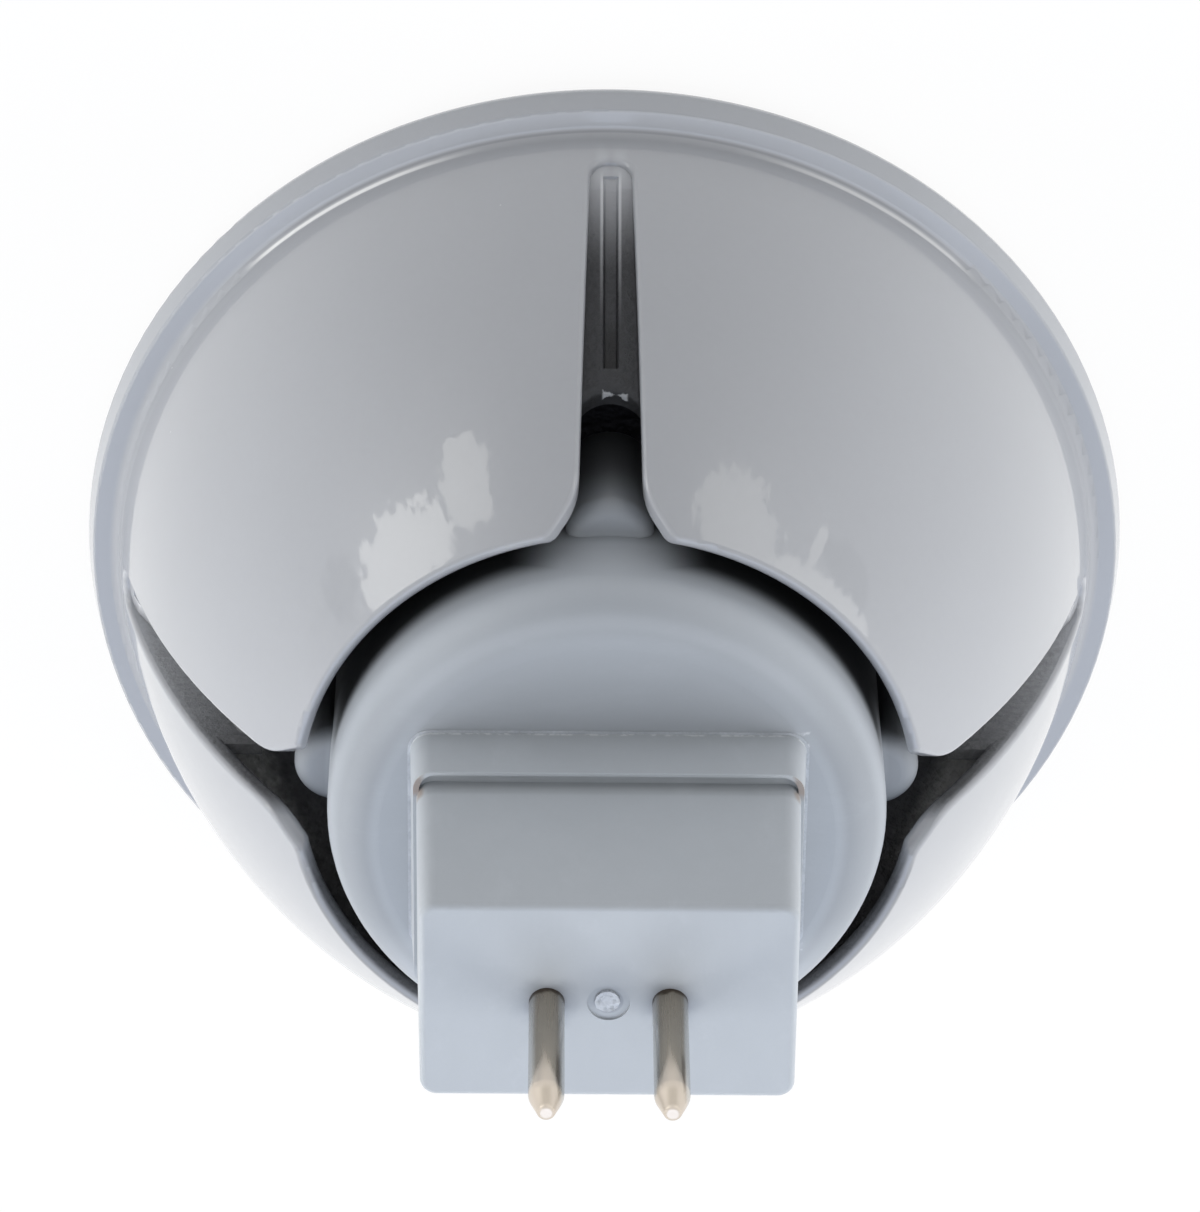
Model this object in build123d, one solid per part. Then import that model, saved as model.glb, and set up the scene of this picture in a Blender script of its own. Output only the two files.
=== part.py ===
from build123d import *
import math
import os

# LED spotlight bulb of the 50 mm reflector size with a two-pin base, in millimetres.
# It stands on its front rim: the origin is the middle of the rim's front plane, and +Z points to the pins.
# The broad faces of the base look along -Y and +Y, and the two pins stand side by side along X.

# Rim of the shell
RIM_RADIUS = 25.0
RIM_TAPER = 0.3
RIM_DEPTH = 2.25
RIM_FLANGE = 1.5
RIM_WALL = 1.65
RIM_FRONT_ROUND = 0.9
RIM_EDGE_ROUND = 0.15

# Bell of the shell, from the flange behind the rim to the rear edge of the petals
BELL_FRONT_RADIUS = RIM_RADIUS - RIM_FLANGE
BELL_DEPTH = 20.35
BELL_BULGE = 1.43
BELL_WALL = 0.9
BELL_EDGE_ROUND = 0.3
BELL_INNER_ROUND = 0.55
NECK_ROUND = 0.5
PETAL_EDGE_ROUND = 0.25
AIR_GAP = 0.75

# Slots between the petals, flared at the petals' rear corners
SLOT_COUNT = 4
SLOT_FRONT_WIDTH = 1.86
SLOT_END_FLAT = 0.16
SLOT_BOSS_OVERLAP = 1.16
FLARE_WIDTH = 1.4
FLARE_DEPTH = 1.7
FLARE_ROUND = 2.4
PETAL_CORNER_ROUND = 0.9
CORNER_RUNOUT = 0.03

# Moulded trough that closes the front part of each slot, with a groove along its floor
TROUGH_START = 1.9
TROUGH_LENGTH = 11.65
TROUGH_RUNOUT = 5.2
TROUGH_START_DEPTH = 0.3
TROUGH_FRONT_DEPTH = 1.6
TROUGH_REAR_DEPTH = 2.1
TROUGH_SIDE = 0.8
TROUGH_FLOOR = 0.75
TROUGH_LIP_ROUND = 0.5
LIP_ARCH_RADIUS = 1.7
LIP_ARCH_DEPTH = 0.9
GROOVE_WIDTH = 0.64
GROOVE_START = 0.6
GROOVE_START_DEPTH = 0.1
GROOVE_DEPTH = 0.35
GROOVE_EDGE = 0.08
RUNOUT_STEPS = 4

# Front lens with one collimator over each light source
LENS_RECESS = 0.4
LENS_PLATE = 1.6
LENS_CLEARANCE = 0.15
LENS_RADIUS = RIM_RADIUS - RIM_WALL - LENS_CLEARANCE
COLLIMATOR_COUNT = 4
COLLIMATOR_CIRCLE = 10.3
COLLIMATOR_FRONT_RADIUS = 7.0
COLLIMATOR_REAR_RADIUS = 2.9
COLLIMATOR_DEPTH = 6.9
COLLIMATOR_BULGE = 0.7
CAVITY_RADIUS = 2.1
CAVITY_DEPTH = 2.6
CAVITY_DOME = 0.7

# Light sources and the plates that they stand on
LED_GAP = 0.9
LED_SIDE = 3.5
LED_HEIGHT = 0.7
DOME_RADIUS = 1.3
LED_BOARD_THICKNESS = 1.6
LED_BOARD_EDGE = 2.7
PAD_THICKNESS = 0.3
PAD_MARGIN = 0.4
SINK_THICKNESS = 2.0
SINK_CLEARANCE = 0.05
WIRE_HOLE_RADIUS = 2.6

# Driver cup with a screw boss in line with each slot
CUP_RADIUS = 12.67
CUP_WALL = 1.2
CUP_FLOOR = 1.3
CUP_DEPTH = 12.0
CUP_ROUND = 2.4
BOSS_RADIUS = 2.0
BOSS_INSET = 0.36
BOSS_LENGTH = 6.4
BOSS_ROUND = 0.8

# Screws that hold the light-source board and the sink to the cup
SCREW_RADIUS = 1.0
SCREW_CLEARANCE = 0.02
SCREW_PASS_CLEARANCE = 0.15
SCREW_BITE = 5.0
SCREW_HEAD_RADIUS = 1.9
SCREW_HEAD_HEIGHT = 1.4
SCREW_HEAD_ROUND = 0.5
SCREW_SLOT_WIDTH = 0.5
SCREW_SLOT_DEPTH = 0.7

# Base plug: inner flange, collar and block
PLUG_CLEARANCE = 0.04
PLUG_FLANGE = 0.6
PLUG_FLANGE_DEPTH = 1.2
PLUG_FLANGE_ROUND = 1.5
COLLAR_ROOT_WIDTH = 17.65
COLLAR_DRAFT = 0.4
COLLAR_END_WIDTH = COLLAR_ROOT_WIDTH - COLLAR_DRAFT
COLLAR_THICKNESS = 11.68
COLLAR_DEPTH = 3.2
COLLAR_CORNER = 0.9
BLOCK_SIDE_STEP = 0.25
BLOCK_FACE_STEP = 1.33
BLOCK_SIDE_DRAFT = 0.68
BLOCK_FACE_DRAFT = 0.15
BLOCK_ROOT_WIDTH = COLLAR_END_WIDTH - BLOCK_SIDE_STEP
BLOCK_END_WIDTH = BLOCK_ROOT_WIDTH - BLOCK_SIDE_DRAFT
BLOCK_ROOT_THICKNESS = COLLAR_THICKNESS - BLOCK_FACE_STEP
BLOCK_END_THICKNESS = BLOCK_ROOT_THICKNESS - BLOCK_FACE_DRAFT
BLOCK_DEPTH = 9.0
BLOCK_CORNER = 0.75
BLOCK_END_ROUND = 0.3
SEAT_RIM = 0.14
SEAT_DEPTH = 0.3
PLUG_WALL = 1.2
PLUG_END_WALL = 2.0
GATE_RADIUS = 0.93
GATE_DEPTH = 0.12
GATE_NUB_RADIUS = 0.4
GATE_NUB_HEIGHT = 0.08

# Contact pins
PIN_SPACING = 5.33
PIN_RADIUS = 0.775
PIN_LENGTH = 7.9
PIN_TIP_RADIUS = 0.35
PIN_TIP_ROUND = 0.2
PIN_TAPER_LENGTH = 1.2
PIN_TAPER_ROUND = 1.0
PIN_ROOT_RADIUS = 0.6
PIN_CLEARANCE = 0.02
PIN_FLANGE_RADIUS = 1.3
PIN_FLANGE_DEPTH = 0.6
PIN_TAIL_LENGTH = 5.0
PIN_TAIL_RADIUS = 0.6

# Driver board, held by its tail in rails of the base plug
DRIVER_BOARD_THICKNESS = 1.0
DRIVER_BOARD_GAP = 0.8
DRIVER_HEAD_LENGTH = 8.2
BOARD_CLEARANCE = 0.15
SOLDER_GAP = 0.05
RAIL_SIZE = 0.8

# Parts on the driver board
CHOKE_RADIUS = 3.4
CHOKE_HEIGHT = 5.5
CHOKE_FLANGE = 0.9
CHOKE_HUB_RADIUS = 1.7
WINDING_CLEARANCE = 0.1
CAPACITOR_RADIUS = 3.15
CAPACITOR_LENGTH = 7.4
CAPACITOR_SPACING = 8.4
CAPACITOR_ROUND = 0.4
CHIP_WIDTH = 4.9
CHIP_LENGTH = 3.9
CHIP_HEIGHT = 1.5
RECTIFIER_WIDTH = 4.7
RECTIFIER_LENGTH = 3.8
RECTIFIER_HEIGHT = 1.4
SMALL_CHIP_WIDTH = 2.0
SMALL_CHIP_LENGTH = 1.25
SMALL_CHIP_HEIGHT = 0.8
SMALL_CHIP_PITCH = 2.2
SMALL_CHIP_COUNT = 3

# Leads from the driver board to the light-source board
LEAD_RADIUS = 0.5
LEAD_SPACING = 3.0
LEAD_OVERLAP = 2.5
LEAD_REACH = 2.4
LEAD_BEND = 1.0

# Places along the axis, from the front to the rear
lens_seat_z = LENS_RECESS + LENS_PLATE
collimator_rear_z = lens_seat_z + COLLIMATOR_DEPTH
led_board_z = collimator_rear_z + LED_GAP
pad_z = led_board_z + LED_BOARD_THICKNESS
sink_z = pad_z + PAD_THICKNESS
cup_front_z = sink_z + SINK_THICKNESS
boss_end_z = cup_front_z + BOSS_LENGTH
cup_rear_z = cup_front_z + CUP_DEPTH
plug_front_z = cup_rear_z - CUP_FLOOR - PLUG_FLANGE_DEPTH
collar_end_z = cup_rear_z + COLLAR_DEPTH
block_end_z = collar_end_z + BLOCK_DEPTH
pin_tip_z = block_end_z + PIN_LENGTH
bell_rear_z = RIM_DEPTH + BELL_DEPTH
trough_start_z = RIM_DEPTH + TROUGH_START
trough_end_z = trough_start_z + TROUGH_LENGTH
flare_z = bell_rear_z - FLARE_DEPTH
driver_head_z = cup_front_z + DRIVER_BOARD_GAP
driver_tail_z = driver_head_z + DRIVER_HEAD_LENGTH

# Places across the axis
bell_rear_radius = CUP_RADIUS + AIR_GAP + BELL_WALL
slot_rear_half = BOSS_RADIUS - SLOT_BOSS_OVERLAP / 2
lens_seat_radius = LENS_RADIUS + LENS_CLEARANCE
cup_inner_radius = CUP_RADIUS - CUP_WALL
screw_circle = CUP_RADIUS - BOSS_INSET
board_face_y = PIN_TAIL_RADIUS + SOLDER_GAP
board_back_y = board_face_y + DRIVER_BOARD_THICKNESS
plug_inner_width = BLOCK_END_WIDTH - 2 * PLUG_WALL
plug_inner_thickness = BLOCK_END_THICKNESS - 2 * PLUG_WALL

# Circle of the bell's outer profile, through both ends of the chord at the given bulge
chord_r = bell_rear_radius - BELL_FRONT_RADIUS
chord_z = BELL_DEPTH
chord = math.hypot(chord_r, chord_z)
arc_radius = (chord ** 2 / 4 + BELL_BULGE ** 2) / (2 * BELL_BULGE)
arc_r = (BELL_FRONT_RADIUS + bell_rear_radius) / 2 - (arc_radius - BELL_BULGE) * chord_z / chord
arc_z = RIM_DEPTH + BELL_DEPTH / 2 + (arc_radius - BELL_BULGE) * chord_r / chord

# Highest place of the petals' rounded rear edge
rear_slope = math.asin((bell_rear_z - arc_z) / arc_radius)
petal_end_z = bell_rear_z - BELL_EDGE_ROUND * (math.sin(rear_slope) + math.cos(rear_slope) - 1)


def bell_radius(z, inset=0.0):
    """Radius of the bell at a height, on the surface that lies inset under its outside."""
    return arc_r + math.sqrt((arc_radius - inset) ** 2 - (z - arc_z) ** 2)


def bell_arc(z_from, z_to, inset=0.0):
    """Arc of the bell's profile between two heights, inset under its outside."""
    heights = (z_from, (z_from + z_to) / 2, z_to)
    return ThreePointArc(*[(bell_radius(z, inset), z) for z in heights])


def revolved(*edges):
    """Solid of revolution about Z of an outline drawn as (radius, height)."""
    return revolve(Plane.XZ * make_face(edges), Axis.Z)


def around(count, solid, start=0.0):
    """Copies of a solid, evenly spaced about Z."""
    return [Rot(0, 0, start + 360 / count * i) * solid for i in range(count)]


def cylinder(radius, z_from, z_to, x=0.0, y=0.0):
    """Upright cylinder between two heights."""
    return Pos(x, y, z_from) * Cylinder(radius, z_to - z_from, align=(Align.CENTER, Align.CENTER, Align.MIN))


def block(width, thickness, height, x, y, z):
    """Box along X, Y and Z, centred on a point."""
    return Pos(x, y, z) * Box(width, thickness, height)


def nearest_vertex(face, point):
    """Corner of an outline that lies nearest to a point."""
    return face.vertices().sort_by_distance(point)[0]


# Petal shell

def shell_body():
    """Rim and plain bell, as one revolved profile with rounded edges."""
    round_middle = RIM_FRONT_ROUND * (1 - math.sqrt(0.5))
    front_round = ThreePointArc(
        (RIM_RADIUS - RIM_FRONT_ROUND, 0),
        (RIM_RADIUS - round_middle, round_middle),
        (RIM_RADIUS, RIM_FRONT_ROUND),
    )
    rim_edge = (RIM_RADIUS - RIM_TAPER, RIM_DEPTH)
    neck = (BELL_FRONT_RADIUS, RIM_DEPTH)
    rear_outside = (bell_rear_radius, bell_rear_z)
    across = BELL_WALL / arc_radius
    rear_inside_z = bell_rear_z - across * (bell_rear_z - arc_z)
    rear_inside = (bell_radius(rear_inside_z, BELL_WALL), rear_inside_z)
    ledge = (bell_radius(lens_seat_z, BELL_WALL), lens_seat_z)
    profile = make_face([
        Line((lens_seat_radius, 0), front_round @ 0),
        front_round,
        Polyline(front_round @ 1, rim_edge, neck),
        bell_arc(RIM_DEPTH, bell_rear_z),
        Line(rear_outside, rear_inside),
        bell_arc(rear_inside_z, lens_seat_z, BELL_WALL),
        Polyline(ledge, (lens_seat_radius, lens_seat_z), (lens_seat_radius, 0)),
    ])
    for corner, radius in (
        (rim_edge, RIM_EDGE_ROUND),
        (neck, NECK_ROUND),
        (rear_outside, BELL_EDGE_ROUND),
        (rear_inside, BELL_INNER_ROUND),
    ):
        profile = fillet(nearest_vertex(profile, corner), radius)
    return revolve(Plane.XZ * profile, Axis.Z)


def slot_plan():
    """Outline (across, height) of the slot at +X, from its rounded front end to the flared rear corners."""
    front = SLOT_FRONT_WIDTH / 2
    corner = slot_rear_half + FLARE_WIDTH
    corner_z = petal_end_z + CORNER_RUNOUT
    beyond = corner + 2 * PETAL_CORNER_ROUND
    right = [
        (front, trough_start_z),
        (slot_rear_half, flare_z),
        (corner, corner_z),
        (beyond, corner_z),
        (beyond, bell_rear_z + BELL_WALL),
    ]
    left = [(-y, z) for y, z in reversed(right)]
    plan = make_face(Polyline(*right, *left, close=True))
    for side in (-1, 1):
        plan = fillet(nearest_vertex(plan, (side * front, trough_start_z)), front - SLOT_END_FLAT / 2)
        plan = fillet(nearest_vertex(plan, (side * slot_rear_half, flare_z)), FLARE_ROUND)
        plan = fillet(nearest_vertex(plan, (side * corner, corner_z)), PETAL_CORNER_ROUND)
    return plan


def slot_edges(shell):
    """Edges where the side walls of the slots meet the bell."""
    flat_kinds = (GeomType.PLANE, GeomType.CYLINDER)
    behind_rim = (RIM_DEPTH + trough_start_z) / 2
    walls = [face for face in shell.faces() if face.geom_type in flat_kinds and face.center().Z > behind_rim]
    edges = [edge for wall in walls for edge in wall.edges()]
    return [edge for edge in edges if sum(edge.is_same(other) for other in edges) == 1]


def trough_floor():
    """Points (radius, height) of a trough's floor, from its run-out to its lip."""
    points = []
    for step in range(RUNOUT_STEPS + 1):
        share = step / RUNOUT_STEPS
        z = trough_start_z + TROUGH_RUNOUT * share
        drop = (TROUGH_FRONT_DEPTH - TROUGH_START_DEPTH) * (1 - math.cos(share * math.pi)) / 2
        points.append((bell_radius(z) - TROUGH_START_DEPTH - drop, z))
    points.append((bell_radius(trough_end_z) - TROUGH_REAR_DEPTH, trough_end_z))
    return points


def along_trough(below, above, beside):
    """Solid along the trough at +X, from below to above its floor and beside the slot's walls."""
    sections = []
    for radius, z in trough_floor():
        share = (z - trough_start_z) / (flare_z - trough_start_z)
        half = SLOT_FRONT_WIDTH / 2 * (1 - share) + slot_rear_half * share + beside
        inner = radius - below
        outer = radius + above
        outline = Polyline((inner, -half), (outer, -half), (outer, half), (inner, half), close=True)
        sections.append(Plane.XY.offset(z) * make_face(outline))
    return loft(sections, ruled=True)


def trough_groove():
    """Groove along the middle of the trough's floor, deeper towards the lip and ending before it."""
    half = GROOVE_WIDTH / 2
    sections = []
    for radius, z in trough_floor():
        share = min((z - trough_start_z) / TROUGH_RUNOUT, 1)
        depth = GROOVE_START_DEPTH * (1 - share) + GROOVE_DEPTH * share
        levels = [(half + GROOVE_EDGE, GROOVE_EDGE), (half, -GROOVE_EDGE), (half - GROOVE_EDGE, -depth)]
        right = [(radius + height, side) for side, height in levels]
        left = [(r, -side) for r, side in reversed(right)]
        sections.append(Plane.XY.offset(z) * make_face(Polyline(*right, *left, close=True)))
    lip_z = trough_end_z - LIP_ARCH_DEPTH - 2 * TROUGH_LIP_ROUND
    return loft(sections, ruled=True) & cylinder(RIM_RADIUS, trough_start_z + GROOVE_START, lip_z)


def trough():
    """Floor and side walls of the trough at +X, which reach into the bell's wall."""
    inset = BELL_WALL / 2
    envelope = revolved(
        Line((0, trough_start_z), (bell_radius(trough_start_z, inset), trough_start_z)),
        bell_arc(trough_start_z, trough_end_z, inset),
        Polyline((bell_radius(trough_end_z, inset), trough_end_z), (0, trough_end_z), (0, trough_start_z)),
    )
    above = TROUGH_REAR_DEPTH + BELL_WALL
    sides = (along_trough(TROUGH_FLOOR, above, TROUGH_SIDE) & envelope) - along_trough(0, above, 0)
    arch_z = trough_end_z + LIP_ARCH_RADIUS - LIP_ARCH_DEPTH
    arch = extrude(Plane.YZ * (Pos(0, arch_z) * Circle(LIP_ARCH_RADIUS)), amount=RIM_RADIUS)
    solid = sides + along_trough(TROUGH_FLOOR, 0, 0) - arch
    (front_radius, front_z), (rear_radius, rear_z) = trough_floor()[-2:]
    arch_share = LIP_ARCH_DEPTH / (rear_z - front_z)
    lip_radius = rear_radius + (front_radius - rear_radius) * arch_share
    lip = solid.edges().sort_by_distance((lip_radius, 0, rear_z - LIP_ARCH_DEPTH))[0]
    return fillet(lip, TROUGH_LIP_ROUND) - trough_groove()


def petal_shell():
    """Rim, bell, petals and troughs in one casting."""
    slot = extrude(Plane.YZ * slot_plan(), amount=RIM_RADIUS)
    shell = shell_body() - around(SLOT_COUNT, slot)
    shell = fillet(slot_edges(shell), PETAL_EDGE_ROUND)
    return shell + around(SLOT_COUNT, trough())


# Optics and light sources

def collimator():
    """One collimator about Z, with the hollow that takes its light source."""
    top_z = lens_seat_z - LENS_PLATE / 2
    hollow_z = collimator_rear_z - CAVITY_DEPTH
    flank = SagittaArc(
        (COLLIMATOR_FRONT_RADIUS, lens_seat_z), (COLLIMATOR_REAR_RADIUS, collimator_rear_z), COLLIMATOR_BULGE
    )
    return revolved(
        Polyline((0, hollow_z - CAVITY_DOME), (0, top_z), (COLLIMATOR_FRONT_RADIUS, top_z), flank @ 0),
        flank,
        Polyline(flank @ 1, (CAVITY_RADIUS, collimator_rear_z), (CAVITY_RADIUS, hollow_z)),
        Line((CAVITY_RADIUS, hollow_z), (0, hollow_z - CAVITY_DOME)),
    )


def at_sources(solid):
    """Copies of a solid on the collimators' axes, which stand between the screws."""
    return around(COLLIMATOR_COUNT, Pos(COLLIMATOR_CIRCLE, 0, 0) * solid, start=180 / COLLIMATOR_COUNT)


def front_lens():
    """Clear plate that lies on the rim's ledge, with the collimators behind it."""
    return cylinder(LENS_RADIUS, LENS_RECESS, lens_seat_z) + at_sources(collimator())


def led_packages():
    """Square carriers of the light sources."""
    return at_sources(block(LED_SIDE, LED_SIDE, LED_HEIGHT, 0, 0, led_board_z - LED_HEIGHT / 2))


def led_domes():
    """Half-round lenses on the carriers."""
    top_z = led_board_z - LED_HEIGHT
    ball = Pos(0, 0, top_z) * Sphere(DOME_RADIUS)
    return at_sources(ball & cylinder(2 * DOME_RADIUS, top_z - 2 * DOME_RADIUS, top_z))


def drilled(plate, z_from, z_to):
    """Plate with the holes for the screws and the opening for the leads."""
    pass_radius = SCREW_RADIUS + SCREW_PASS_CLEARANCE
    hole = cylinder(pass_radius, z_from, z_to, x=screw_circle)
    return plate - around(SLOT_COUNT, hole) - cylinder(WIRE_HOLE_RADIUS, z_from, z_to)


def led_board():
    """Round metal-core board that carries the light sources."""
    return drilled(cylinder(screw_circle + LED_BOARD_EDGE, led_board_z, pad_z), led_board_z, pad_z)


def thermal_pad():
    """Thin pad between the light-source board and the sink."""
    radius = screw_circle + LED_BOARD_EDGE - PAD_MARGIN
    return drilled(cylinder(radius, pad_z, sink_z), pad_z, sink_z)


def heat_sink():
    """Plate whose edge follows the bell's inside, notched round the troughs."""
    inset = BELL_WALL + SINK_CLEARANCE
    plate = revolved(
        Line((0, sink_z), (bell_radius(sink_z, inset), sink_z)),
        bell_arc(sink_z, cup_front_z, inset),
        Polyline((bell_radius(cup_front_z, inset), cup_front_z), (0, cup_front_z), (0, sink_z)),
    )
    notch = along_trough(TROUGH_FLOOR + SINK_CLEARANCE, TROUGH_REAR_DEPTH, TROUGH_SIDE + SINK_CLEARANCE)
    return drilled(plate, sink_z, cup_front_z) - around(SLOT_COUNT, notch)


def assembly_screws():
    """Screws that pass through the board, the pad and the sink into the cup's bosses."""
    head_z = led_board_z - SCREW_HEAD_HEIGHT
    head = fillet(
        cylinder(SCREW_HEAD_RADIUS, head_z, led_board_z).edges().sort_by(Axis.Z)[0], SCREW_HEAD_ROUND
    )
    slot_z = head_z + SCREW_SLOT_DEPTH / 2
    for length, width in ((SCREW_HEAD_RADIUS, SCREW_SLOT_WIDTH), (SCREW_SLOT_WIDTH, SCREW_HEAD_RADIUS)):
        head -= block(length, width, SCREW_SLOT_DEPTH, 0, 0, slot_z)
    screw = head + cylinder(SCREW_RADIUS, led_board_z, cup_front_z + SCREW_BITE)
    return around(SLOT_COUNT, Pos(screw_circle, 0, 0) * screw)


# Driver cup and base plug

def plug_window():
    """Opening in the cup's rear wall that takes the collar of the base plug."""
    window = RectangleRounded(
        COLLAR_ROOT_WIDTH + 2 * PLUG_CLEARANCE, COLLAR_THICKNESS + 2 * PLUG_CLEARANCE, COLLAR_CORNER
    )
    return extrude(Plane.XY.offset(cup_rear_z - CUP_FLOOR) * window, amount=CUP_FLOOR)


def driver_cup():
    """Round housing, open to the sink, with a half-round screw boss in line with each slot."""
    round_middle = CUP_ROUND * (1 - math.sqrt(0.5))
    rear_round = ThreePointArc(
        (CUP_RADIUS, cup_rear_z - CUP_ROUND),
        (CUP_RADIUS - round_middle, cup_rear_z - round_middle),
        (CUP_RADIUS - CUP_ROUND, cup_rear_z),
    )
    floor_z = cup_rear_z - CUP_FLOOR
    cup = revolved(
        Polyline((cup_inner_radius, cup_front_z), (CUP_RADIUS, cup_front_z), rear_round @ 0),
        rear_round,
        Polyline(rear_round @ 1, (0, cup_rear_z), (0, floor_z)),
        Polyline((0, floor_z), (cup_inner_radius, floor_z), (cup_inner_radius, cup_front_z)),
    )
    boss = cylinder(BOSS_RADIUS, cup_front_z, boss_end_z)
    boss = fillet(boss.edges().sort_by(Axis.Z)[-1], BOSS_ROUND)
    screw_hole = cylinder(SCREW_RADIUS + SCREW_CLEARANCE, cup_front_z, cup_front_z + SCREW_BITE)
    at_boss = Pos(screw_circle, 0, 0)
    cup += around(SLOT_COUNT, at_boss * boss)
    return cup - around(SLOT_COUNT, at_boss * screw_hole) - plug_window()


def drafted(width_from, width_to, thickness_from, thickness_to, corner, z_from, z_to):
    """Block with rounded corners that narrows between two heights."""
    ends = ((width_from, thickness_from, z_from), (width_to, thickness_to, z_to))
    return loft([Plane.XY.offset(z) * RectangleRounded(w, t, corner) for w, t, z in ends])


def plug_rails():
    """Two pairs of rails that hold the edges of the driver board's tail."""
    rail_x = plug_inner_width / 2 - RAIL_SIZE / 2
    length = block_end_z - PLUG_END_WALL - plug_front_z
    middle_z = plug_front_z + length / 2
    offset = BOARD_CLEARANCE + RAIL_SIZE / 2
    places = [(x, y) for x in (-rail_x, rail_x) for y in (board_face_y - offset, board_back_y + offset)]
    return [block(RAIL_SIZE, RAIL_SIZE, length, x, y, middle_z) for x, y in places]


def base_plug():
    """Hollow two-pin base: flange inside the cup, collar in its window, and the block behind it."""
    flange = RectangleRounded(
        COLLAR_ROOT_WIDTH + 2 * PLUG_FLANGE, COLLAR_THICKNESS + 2 * PLUG_FLANGE, PLUG_FLANGE_ROUND
    )
    flange &= Circle(cup_inner_radius - PLUG_CLEARANCE)
    plug = extrude(Plane.XY.offset(plug_front_z) * flange, amount=PLUG_FLANGE_DEPTH)
    neck = RectangleRounded(COLLAR_ROOT_WIDTH, COLLAR_THICKNESS, COLLAR_CORNER)
    plug += extrude(Plane.XY.offset(cup_rear_z - CUP_FLOOR) * neck, amount=CUP_FLOOR)
    plug += drafted(
        COLLAR_ROOT_WIDTH, COLLAR_END_WIDTH, COLLAR_THICKNESS, COLLAR_THICKNESS, COLLAR_CORNER,
        cup_rear_z, collar_end_z,
    )
    seat_z = collar_end_z - SEAT_DEPTH
    seat = RectangleRounded(
        BLOCK_ROOT_WIDTH - 2 * SEAT_RIM, COLLAR_THICKNESS - 2 * SEAT_RIM, COLLAR_CORNER - SEAT_RIM
    )
    plug -= extrude(Plane.XY.offset(seat_z) * seat, amount=SEAT_DEPTH)
    end_block = drafted(
        BLOCK_ROOT_WIDTH, BLOCK_END_WIDTH, BLOCK_ROOT_THICKNESS, BLOCK_END_THICKNESS, BLOCK_CORNER,
        seat_z, block_end_z,
    )
    plug += fillet(end_block.faces().sort_by(Axis.Z)[-1].edges(), BLOCK_END_ROUND)
    hollow_depth = block_end_z - PLUG_END_WALL - plug_front_z
    hollow = Rectangle(plug_inner_width, plug_inner_thickness)
    plug -= extrude(Plane.XY.offset(plug_front_z) * hollow, amount=hollow_depth)
    plug += plug_rails()
    for x in (-PIN_SPACING / 2, PIN_SPACING / 2):
        plug -= cylinder(PIN_ROOT_RADIUS + PIN_CLEARANCE, block_end_z - PLUG_END_WALL, block_end_z, x=x)
    gate_z = block_end_z - GATE_DEPTH
    plug -= cylinder(GATE_RADIUS, gate_z, block_end_z)
    return plug + cylinder(GATE_NUB_RADIUS, gate_z, gate_z + GATE_NUB_HEIGHT)


def contact_pin(x):
    """Turned pin: tapered tip, groove in the block's end wall, flange under it, tail on the driver board."""
    inner_z = block_end_z - PLUG_END_WALL
    flange_z = inner_z - PIN_FLANGE_DEPTH
    tip = (PIN_TIP_RADIUS, pin_tip_z)
    shoulder = (PIN_RADIUS, pin_tip_z - PIN_TAPER_LENGTH)
    profile = make_face(
        Polyline(
            (0, pin_tip_z),
            tip,
            shoulder,
            (PIN_RADIUS, block_end_z),
            (PIN_ROOT_RADIUS, block_end_z),
            (PIN_ROOT_RADIUS, inner_z),
            (PIN_FLANGE_RADIUS, inner_z),
            (PIN_FLANGE_RADIUS, flange_z),
            (PIN_TAIL_RADIUS, flange_z),
            (PIN_TAIL_RADIUS, flange_z - PIN_TAIL_LENGTH),
            (0, flange_z - PIN_TAIL_LENGTH),
            close=True,
        )
    )
    for corner, radius in ((tip, PIN_TIP_ROUND), (shoulder, PIN_TAPER_ROUND)):
        profile = fillet(nearest_vertex(profile, corner), radius)
    return Pos(x, 0, 0) * revolve(Plane.XZ * profile, Axis.Z)


# Driver

def driver_board():
    """Board with a broad head in the cup and a tail in the base plug."""
    boss_inner = screw_circle - BOSS_RADIUS
    head_half = boss_inner - 2 * BOARD_CLEARANCE
    tail_half = plug_inner_width / 2 - BOARD_CLEARANCE
    tail_end_z = block_end_z - PLUG_END_WALL - PIN_FLANGE_DEPTH - BOARD_CLEARANCE
    right = [
        (head_half, driver_head_z),
        (head_half, driver_tail_z),
        (tail_half, driver_tail_z),
        (tail_half, tail_end_z),
    ]
    left = [(-x, z) for x, z in reversed(right)]
    outline = make_face(Polyline(*right, *left, close=True))
    return extrude(Plane.XZ.offset(-board_back_y) * outline, amount=DRIVER_BOARD_THICKNESS)


def driver_head_middle():
    """Height of the middle of the driver board's head."""
    return driver_head_z + DRIVER_HEAD_LENGTH / 2


def choke_place():
    """Place of the choke's foot on the near face of the board, with its axis along -Y."""
    x = LEAD_SPACING / 2 + LEAD_RADIUS + BOARD_CLEARANCE + CHOKE_RADIUS
    return Pos(-x, board_face_y, driver_head_middle()) * Rot(90, 0, 0)


def choke_core():
    """Drum core with a hub between two flanges."""
    core = cylinder(CHOKE_HUB_RADIUS, 0, CHOKE_HEIGHT)
    core += cylinder(CHOKE_RADIUS, 0, CHOKE_FLANGE)
    core += cylinder(CHOKE_RADIUS, CHOKE_HEIGHT - CHOKE_FLANGE, CHOKE_HEIGHT)
    return choke_place() * core


def choke_winding():
    """Coil on the drum core's hub."""
    front = CHOKE_FLANGE + WINDING_CLEARANCE
    rear = CHOKE_HEIGHT - CHOKE_FLANGE - WINDING_CLEARANCE
    coil = cylinder(CHOKE_RADIUS - 2 * WINDING_CLEARANCE, front, rear)
    return choke_place() * (coil - cylinder(CHOKE_HUB_RADIUS + WINDING_CLEARANCE, front, rear))


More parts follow.
